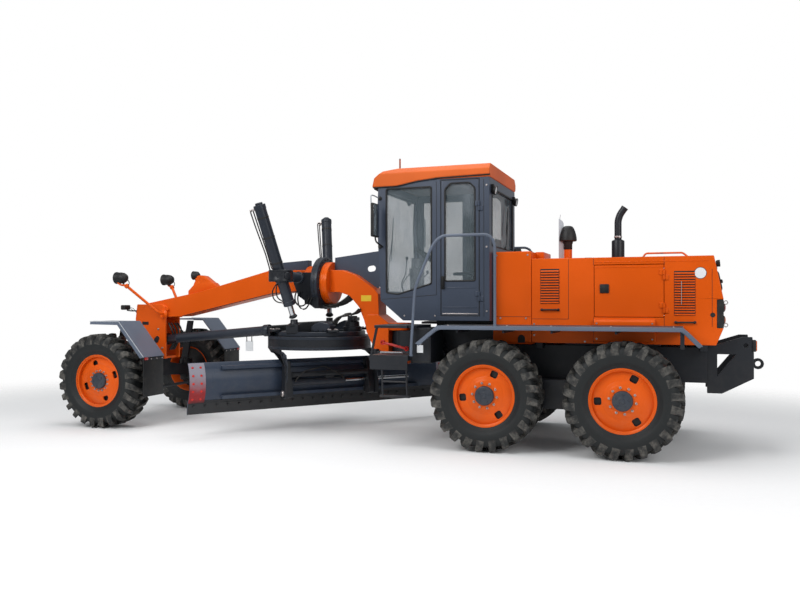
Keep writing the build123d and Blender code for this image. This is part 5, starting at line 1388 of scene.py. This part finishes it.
def front_lamps(side, hand, spot):
    knee, end = spot(5.9, 0.28, 1.56), spot(6.3, 0.56, 1.99)
    arm = pipe("arm", [spot(5.9, 0.18, 1.56), knee, end], 0.0205, 0.07, sides=6)
    foot = turned("foot", spot(5.9, 0.185, 1.56), Y * hand,
                  [(0, 0), (0, 0.062), (0.008, 0.062), (0.012, 0.046), (0.022, 0.034), (0.026, 0)])
    gusset = block("gusset", spot(5.885, 0.186, 1.5), spot(5.915, 0.262, 1.545))
    hook = pipe("hook", [end - Z * 0.012, spot(6.365, 0.585, 1.985), spot(6.42, 0.6, 2.045),
        spot(6.432, 0.6, 2.09)], 0.014, 0.03)
    clamp = ring("clamp", knee.lerp(end, 0.95), end - knee, 0.034, 0.019, 0.044, 0.004, 28)
    done(joined(f"lamp_arm_{side}", [arm, foot, gusset, hook, clamp]), ORANGE, FRONT,
         for_both(side, "lamps"))
    case = turned("case", spot(6.262, 0.56, 2.088),
                  X, [(0, 0), (0.004, 0.03), (0.02, 0.054), (0.055, 0.074), (0.1, 0.082), (0.16, 0.082),
                      (0.172, 0.088), (0.188, 0.088), (0.19, 0.08), (0.182, 0.076), (0.18, 0)], 40)
    stem = rod("stem", spot(6.325, 0.56, 1.985), spot(6.33, 0.56, 2.03), 0.014, 0.002, 16)
    cable = pipe("cable", [spot(6.268, 0.56, 2.075), spot(6.225, 0.55, 2.02), spot(6.262, 0.545, 1.965),
        spot(6.2, 0.5, 1.885), spot(6.05, 0.395, 1.735), spot(5.93, 0.312, 1.61)], 0.006, 0.03)
    done(joined(f"head_lamp_{side}", [case, stem, cable]), body=FRONT)
    done(turned(f"head_lamp_glass_{side}", spot(6.44, 0.56, 2.088),
                X, [(-0.004, 0), (-0.004, 0.075), (0.004, 0.07), (0.01, 0.04), (0.012, 0)], 36),
         CLEAR_LENS, FRONT)
    shelf = pipe("shelf", [spot(6.395, 0.12, 1.605), spot(6.47, 0.2, 1.6), spot(6.52, 0.245, 1.612)],
                 0.0095, 0.03)
    low_case = block("case", spot(6.5, 0.18, 1.618), spot(6.585, 0.31, 1.69), 0.014, 3)
    wires = [pipe("wire", [spot(6.505, 0.2 + shift, 1.655), spot(6.455, 0.175 + shift, 1.64 - shift),
        spot(6.425, 0.13, 1.56 + shift), spot(6.408, 0.08, 1.52)], 0.004, 0.02) for shift in (0, 0.025)]
    done(joined(f"low_lamp_{side}", [shelf, low_case] + wires), body=FRONT)
    done(block(f"low_lamp_glass_{side}", spot(6.582, 0.192, 1.63), spot(6.59, 0.298, 1.68)),
         AMBER_LENS, FRONT)
    # Painted shade: a thin black plate stands for the dark inside the tower's slot.
    done(block(f"tower_slot_{side}", spot(6.17, 0.1855, 1.392), spot(6.285, 0.1872, 1.44), 0.0006, 1),
         body=FRONT)
    boss = [spot(5.843 + dx, 0.186, 1.631 + dz) for dx, dz in ((0.03, 0), (0, 0.03), (-0.03, 0),
        (0, -0.03))]
    done(plate(f"tower_boss_{side}", boss, Y * 0.01 * hand, (), 0.002), ORANGE, FRONT)
    slant = 1.047
    slot_way = Vector((math.cos(slant), 0, -math.sin(slant)))
    rim = rounded(spot(6.024, 0.186, 1.175), slot_way, Vector((math.sin(slant), 0, math.cos(slant))), 0.118,
                  0.078, 0.038, 6)
    done(pipe(f"slot_lip_{side}", rim, 0.004, 0, closed=True), ORANGE, FRONT)
    # Painted shade: a thin black plate inside the lip stands for the dark of the opening.
    done(plate(f"slot_dark_{side}", rim, Y * 0.0016 * hand, (), 0.0003, 1), body=FRONT)
    bolts(f"tower_bolts_{side}", [spot(x, 0.186, z)
        for x, z in ((5.93, 0.95), (5.93, 1.05), (6.33, 1.2), (6.33, 1.36), (6.0, 1.33))], Y * hand, FRONT,
          0.024, 0.012)


both(front_lamps)

bracket_line = [(5.06, 1.925), (5.095, 1.99), (5.16, 2.03), (5.285, 2.12), (5.345, 2.13), (5.405, 2.12),
                (5.42, 2.075), (5.455, 2.02), (5.47, 1.985), (5.56, 1.9), (5.56, 1.83), (5.3, 1.87)]
hole = arc(at(5.345, -0.0615, 2.052), X, Z, 0.036, 0, 360, 20)[:-1]
done(plate("beam_bracket", [at(x, -0.0615, z) for x, z in bracket_line], Y * 0.123, [hole], 0.004),
     ORANGE, FRONT)
lamp_case = turned("case", at(5.405, 0, 2.13), X, [(0, 0), (0.004, 0.034), (0.03, 0.058), (0.085, 0.064),
    (0.105, 0.066), (0.11, 0.06), (0.104, 0.056), (0.1, 0)], 36)
done(joined("beam_lamp", [lamp_case, block("foot", at(5.41, -0.02, 2.02), at(5.47, 0.02, 2.08))]),
     body=FRONT)
done(turned("beam_lamp_glass", at(5.504, 0, 2.13), X, capped((0, 0.055), (0.006, 0.05), (0.01, 0.022))),
     CLEAR_LENS, FRONT)
bundle = [pipe("hose", [at(6.4, y, 1.69), at(6.424, y, 1.64),
                        at(6.428, y * 0.6, 1.5), at(6.402, y * 0.5, 1.32), at(6.398, y * 0.5, 1.2)], 0.012)
          for y in (-0.06, -0.02, 0.02, 0.06)]
bundle += [block("clip", at(6.4, -0.075, 1.56), at(6.436, 0.075, 1.585))]
done(joined("tower_hoses", bundle), HOSE, FRONT)
steer_hoses = [pipe("hose", [at(5.875, 0.1 * hand, 1.42), at(5.82, 0.13 * hand, 1.36),
    at(5.79, 0.1 * hand, 1.24), at(5.83, 0.06 * hand, 1.12), at(5.89, 0.05 * hand, 1.02)], 0.013, 0.06)
               for hand in (1, 0.4, -0.4, -1)]
done(joined("steering_hoses", steer_hoses), HOSE, FRONT)
seams("beam_welds", [(at(x, 0.1505 * hand, z), at(far_x, 0.1505 * hand, far_z)) for hand in HANDS.values()
                     for x, z, far_x, far_z in ((5.6, 1.53, 4.117, 1.852), (4.117, 1.852, 3.7, 1.884))],
      FRONT, 0.004)
done(block("neck_label", at(2.59, 0.1498, 1.742), at(2.738, 0.1515, 1.822), 0.0005, 1), YELLOW_LABEL, FRONT)

# Front axle
TIE_X, TIE_Z, KING_Y = 5.969, 0.472, 0.8
tie = rod("tie_tube", at(TIE_X, -0.74, TIE_Z), at(TIE_X, 0.74, TIE_Z), 0.0222)
ends = [turned("end", at(TIE_X, KING_Y * hand, 0.45), Z, capped((0, 0.026), (0.006, 0.031), (0.04, 0.031),
    (0.046, 0.024), (0.046, 0.0185), (0.094, 0.0185)), 28) for hand in HANDS.values()]
nuts_on_tie = [turned("nut", at(TIE_X, y, TIE_Z), Y, [(-0.02, 0), (-0.02, 0.034), (0.02, 0.034), (0.02, 0)],
                      6, 20) for y in (-0.69, 0.69)]
done(joined("tie_bar", [tie] + ends + nuts_on_tie), BLACK_PAINT, body_of("tie_rod"), "tie_rod")
for side, hand in HANDS.items():
    king = turned(f"king_cap_{side}", at(6.219, KING_Y * hand, 0.745), Z, capped((0, 0.0735),
        (0.066, 0.0735), (0.072, 0.066), (0.074, 0.05), (0.088, 0.048), (0.092, 0.04)), 36)
    done(king, BLACK_PAINT, body_of(f"knuckle_{side}"))

# Blade
BLADE_TURN = math.radians(38.5)
FORWARD = Vector((math.cos(BLADE_TURN), -math.sin(BLADE_TURN), 0))
LEFTWARD = Vector((math.sin(BLADE_TURN), math.cos(BLADE_TURN), 0))
BLADE, CARRIER, CIRCLE_BODY = body_of("moldboard"), body_of("blade_carrier"), body_of("circle")
BLADE_LENGTH, BLADE_SHIFT = 3.965, -0.065
LEFT_END, RIGHT_END = BLADE_SHIFT + BLADE_LENGTH / 2, BLADE_SHIFT - BLADE_LENGTH / 2


def on_blade(u, v, z):
    return TABLE + FORWARD * u + LEFTWARD * v + Z * z


def prism(name, outline, start, end):
    """A bar along the blade with that outline of (u, z)."""
    return lofted(name, [[on_blade(u, v, z) for u, z in outline] for v in (start, end)])


def back_curve(low, high, proud, steps=8):
    """The blade's back between two heights, as (u, z), that far off its skin."""
    centre_u, centre_z, radius = 0.2423, 0.705, 0.4546
    points = []
    for step in range(steps + 1):
        z = low + (high - low) * step / steps
        points.append((centre_u - math.sqrt((radius + proud) ** 2 - (z - centre_z) ** 2), z))
    return points


def back_sheet(name, start, end, low, high, thick, material):
    line = back_curve(low, high, -0.002) + back_curve(low, high, thick)[::-1]
    return done(soften(prism(name, line, start, end), 0.0015, 1), material, BLADE)


back_sheet("blade_panel", -1.6, 1.62, 0.565, 0.835, 0.002, BLADE_PAINT)
back_sheet("blade_low_strip", RIGHT_END + 0.002, LEFT_END - 0.002, 0.44, 0.478, 0.004, BLACK_PAINT)
BIT_HOLES = [(v, z) for v in (0.045, 0.15) for z in (0.5, 0.6, 0.7, 0.8, 0.9)]
for side, end, inward in (("left", LEFT_END - 0.001, -1), ("right", RIGHT_END + 0.001, 1)):
    low_v, high_v = sorted((end, end + inward * 0.205))
    back_sheet(f"end_bit_{side}", low_v, high_v, 0.446, 0.956, 0.006, END_BIT)
    heads = [turned("bolt", on_blade(back_curve(z, z + 0.01, 0.006, 1)[0][0], end + inward * v, z),
                    -FORWARD, [(0, 0), (0, 0.016), (0.004, 0.0145), (0.007, 0.009), (0.008, 0)], 16)
             for v, z in BIT_HOLES]
    done(joined(f"end_bit_bolts_{side}", heads), RED, BLADE)
for half, (start, end) in enumerate(((RIGHT_END + 0.001, -0.067), (-0.063, LEFT_END - 0.001))):
    rear_line = [(-0.1, 0.3005), (-0.1265, 0.44), (-0.132, 0.44), (-0.106, 0.3005)]
    front_line = [(-0.0815, 0.3005), (-0.1, 0.452), (-0.095, 0.4545), (-0.0755, 0.3005)]
    for kind, line in (("rear", rear_line), ("front", front_line)):
        edge = prism(f"cutting_edge_{kind}_{half}", line, start, end)
        done(soften(edge, 0.0015, 1), WORN_STEEL, BLADE)
edge_nuts = [on_blade(-0.1255, RIGHT_END + 0.077 + 0.1525 * step, 0.405) for step in range(26)]
bolts("edge_nuts", edge_nuts, -FORWARD + Z * -0.18, BLADE, 0.026, 0.016, WORN_STEEL)
top_rib = [on_blade(-0.121, v, 0.951) for v in (RIGHT_END + 0.004, LEFT_END - 0.004)]
done(pipe("blade_top_rib", top_rib, 0.0065, 0), BLADE_PAINT, BLADE)
SHIFT_U, SHIFT_Z = -0.265, 0.65
shift_ends = [on_blade(SHIFT_U, v, SHIFT_Z) for v in (-1.296, 0.148)]
done(rod("shift_rod", *shift_ends, 0.0256, 0.002, 28), CHROME, BLADE)
shift_line = capped((0, 0.044), (0.004, 0.05), (0.05, 0.05), (0.056, 0.0485), (0.77, 0.0485),
                    (0.776, 0.051), (0.822, 0.051), (0.828, 0.045))
done(turned("shift_cylinder", on_blade(SHIFT_U, -0.25, SHIFT_Z), LEFTWARD, shift_line, 36),
     BLUE_GREY_DARK, CARRIER)
for side, hand in HANDS.items():
    done(turned(f"tip_pin_{side}", on_blade(-0.345, 0.712 * hand, 0.52), LEFTWARD * hand,
                [(0, 0), (0, 0.042), (0.01, 0.042), (0.016, 0.034), (0.022, 0.03), (0.024, 0)], 28),
         ZINC, CARRIER)
    pads = [prism("pad", ((-0.243, low), (-0.243, low + 0.1), (-0.262, low + 0.09), (-0.262, low + 0.01)),
                  0.56 * hand, 0.664 * hand) for low in (0.455, 0.842)]
    done(soften(joined(f"slide_pads_{side}", pads), 0.003, 1), BLACK_PAINT, CARRIER)
    arm_rib = [(-0.404, 0.5), (-0.404, 0.87), (-0.196, 1.075), (-0.1, 1.075), (-0.1, 1.069), (-0.19, 1.069),
               (-0.396, 0.866), (-0.396, 0.5)]
    low_v, high_v = sorted((0.672 * hand, 0.71 * hand))
    done(soften(prism(f"blade_arm_rib_{side}", arm_rib, low_v, high_v), 0.002, 1), BLACK_PAINT, CIRCLE_BODY)
    web = [(-0.398, 0.62), (-0.44, 0.72), (-0.452, 0.9), (-0.4, 1.03), (-0.3, 1.068), (-0.19, 1.068),
           (-0.39, 0.866)]
    web = [on_blade(u, 0.682 * hand, z) for u, z in web]
    done(plate(f"blade_arm_web_{side}", web, LEFTWARD * 0.016 * hand), BLUE_GREY_DARK, CIRCLE_BODY)
    web_bolts = [on_blade(u, 0.698 * hand, z) for u, z in ((-0.425, 0.78), (-0.428, 0.88), (-0.385, 0.98),
        (-0.3, 1.035))]
    bolts(f"web_bolts_{side}", web_bolts, LEFTWARD * hand, CIRCLE_BODY, 0.024, 0.012, BLACK_PAINT)
port_lines = [pipe("line", [on_blade(-0.312, v, 0.665), on_blade(-0.345, v, 0.7),
    on_blade(-0.352, v * 0.6 + 0.1, 0.8), on_blade(-0.33, 0.1, 0.86)], 0.009, 0.04) for v in (-0.2, 0.52)]
done(joined("shift_lines", port_lines), HOSE, CARRIER)

# Hoses under the neck, loops on the saddle and a housing on the drawbar
neck_hoses = [pipe("hose", [at(3.385, y, 1.78), at(3.33, y, 1.7), at(3.21, y * 1.1, 1.674),
    at(3.09, y * 1.2, 1.708), at(3.0, y * 1.1, 1.755), at(2.93, y, 1.82)], 0.014, 0.06)
              for y in (-0.12, -0.04, 0.04, 0.12)]
neck_hoses += [block("clip", at(3.195, -0.15, 1.656), at(3.225, 0.15, 1.698), 0.006)]
done(joined("neck_hoses", neck_hoses), HOSE, FRONT)


def saddle_loop(side, hand, spot):
    loops = [pipe("loop", [spot(3.64 - step, 0.3, 1.88), spot(3.65 - step, 0.345, 1.8),
        spot(3.62 - step, 0.352, 1.7 - step), spot(3.53 - step, 0.352, 1.665 - step),
        spot(3.46 - step, 0.345, 1.72), spot(3.455 - step, 0.3, 1.79)], 0.01) for step in (0, 0.045)]
    done(joined(f"saddle_loops_{side}", loops), HOSE, FRONT)
    housing = [(3.045, 1.33), (3.045, 1.41), (3.08, 1.45), (3.19, 1.47), (3.27, 1.44), (3.325, 1.4),
               (3.325, 1.33)]
    box = lofted(f"drawbar_housing_{side}", [[spot(x, y, z) for x, z in housing] for y in (0.3, 0.5)])
    done(soften(box, 0.012, 3), BLUE_GREY_DARK, DRAWBAR)
    bolts(f"housing_bolts_{side}", [spot(x, 0.5, 1.352) for x in (3.07, 3.14, 3.22, 3.3)], Y * hand,
          DRAWBAR, 0.02, 0.01, BLACK_PAINT)


both(saddle_loop)
straps = [block("strap", at(x, 0.359, 1.18), at(x + 0.012, 0.365, 1.3), 0.001, 1) for x in (4.302, 4.382)]
done(joined("tag_straps", straps), body=DRAWBAR)
done(block("white_tag", at(4.288, 0.358, 1.045), at(4.408, 0.362, 1.19), 0.0012, 1), WHITE_LABEL, DRAWBAR)

# Hoses from the neck to the drawbar
for index, y in enumerate((0.1, 0.16, 0.22)):
    run = [at(2.74, y, 1.64), at(2.8, y + 0.03, 1.56), at(2.93, y + 0.07, 1.585 - 0.02 * index),
           at(3.04, y + 0.1, 1.52), at(3.1, y + 0.11, 1.4)]
    hose = pipe(f"drawbar_hose_{index}", run, 0.014, 0.07)
    hose.data.materials.clear()
    hose.data.materials.append(HOSE)
    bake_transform(hose)


# Floor, light and camera


FLOOR_RADIUS = 16
FADE_FROM, FADE_TO = 4.2, 8.5


def floor():
    """A pale floor that fades into the white background."""
    bpy.ops.mesh.primitive_circle_add(vertices=96, radius=FLOOR_RADIUS, fill_type="NGON",
        location=(0, 0, 0))
    piece = named("floor")
    finish = Finish("pale_floor", Roughness=0.9, Specular_IOR_Level=0.1)
    centre = finish.node("Mapping", {"Vector": finish.place(), "Scale": (0.75, 1, 0)})
    reach = finish.node("VectorMath", {0: centre}, 1, operation="LENGTH")
    near = finish.band(reach, FADE_TO, FADE_FROM)
    grit = finish.spots(14, 5)
    shader = finish.feed(Base_Color=finish.mix(grit, (0.86, 0.86, 0.86, 1), (0.9, 0.9, 0.9, 1)))
    out = finish.tree.nodes["Material Output"]
    clear = finish.node("BsdfTransparent")
    blend = finish.node("MixShader", {0: near, 1: clear, 2: Shade(finish, finish.shader.outputs[0])})
    finish.tree.links.new(blend.socket, out.inputs["Surface"])
    piece.data.materials.append(shader)


def sky(level):
    """An even soft light, white where the camera or glass looks at it."""
    world = bpy.data.worlds.new("soft_sky")
    bpy.context.scene.world = world
    world.use_nodes = True
    tree = world.node_tree
    tree.nodes.clear()
    path = tree.nodes.new("ShaderNodeLightPath")
    seen = tree.nodes.new("ShaderNodeMath")
    seen.operation = "MAXIMUM"
    for slot, ray in enumerate(("Is Camera Ray", "Is Transmission Ray")):
        tree.links.new(path.outputs[ray], seen.inputs[slot])
    soft = tree.nodes.new("ShaderNodeBackground")
    soft.inputs["Color"].default_value = (0.94, 0.97, 1, 1)
    soft.inputs["Strength"].default_value = level
    white = tree.nodes.new("ShaderNodeBackground")
    white.inputs["Color"].default_value = (1, 1, 1, 1)
    blend = tree.nodes.new("ShaderNodeMixShader")
    out = tree.nodes.new("ShaderNodeOutputWorld")
    tree.links.new(seen.outputs[0], blend.inputs[0])
    tree.links.new(soft.outputs[0], blend.inputs[1])
    tree.links.new(white.outputs[0], blend.inputs[2])
    tree.links.new(blend.outputs[0], out.inputs[0])


def lamp(name, place, target, size, power):
    """A broad studio lamp that faces its target."""
    bpy.ops.object.light_add(type="AREA", location=place)
    light = bpy.context.active_object
    light.name = name
    light.data.shape = "SQUARE"
    light.data.size = size
    light.data.energy = power
    light.rotation_euler = (Vector(target) - Vector(place)).to_track_quat("-Z", "Y").to_euler()


EYE = Vector((-3.6965, 10.188, 1.745))
LENS, SENSOR = 35.85, 36
YAW, PITCH, ROLL = math.radians(19.62), math.radians(0.07), math.radians(-0.09)


def camera():
    ahead = Vector((math.sin(YAW) * math.cos(PITCH), -math.cos(YAW) * math.cos(PITCH), math.sin(PITCH)))
    flat = Vector((-math.cos(YAW), -math.sin(YAW), 0))
    rise = flat.cross(ahead)
    right = flat * math.cos(ROLL) + rise * math.sin(ROLL)
    up = rise * math.cos(ROLL) - flat * math.sin(ROLL)
    bpy.ops.object.camera_add(location=EYE)
    eye = bpy.context.active_object
    eye.rotation_euler = Matrix((right, up, -ahead)).transposed().to_euler()
    eye.data.lens = LENS
    eye.data.sensor_width = SENSOR
    bpy.context.scene.camera = eye


floor()
sky(0.42)
lamp("key_light", (3.5, 9, 7.5), (0, 0, 1.2), 5, 640)
lamp("fill_light", (-9, 6, 5), (-1, 0, 1.5), 5, 300)
lamp("top_light", (0, 0, 9), (0, 0, 0), 7, 380)
camera()
bpy.context.scene.view_settings.view_transform = "Standard"
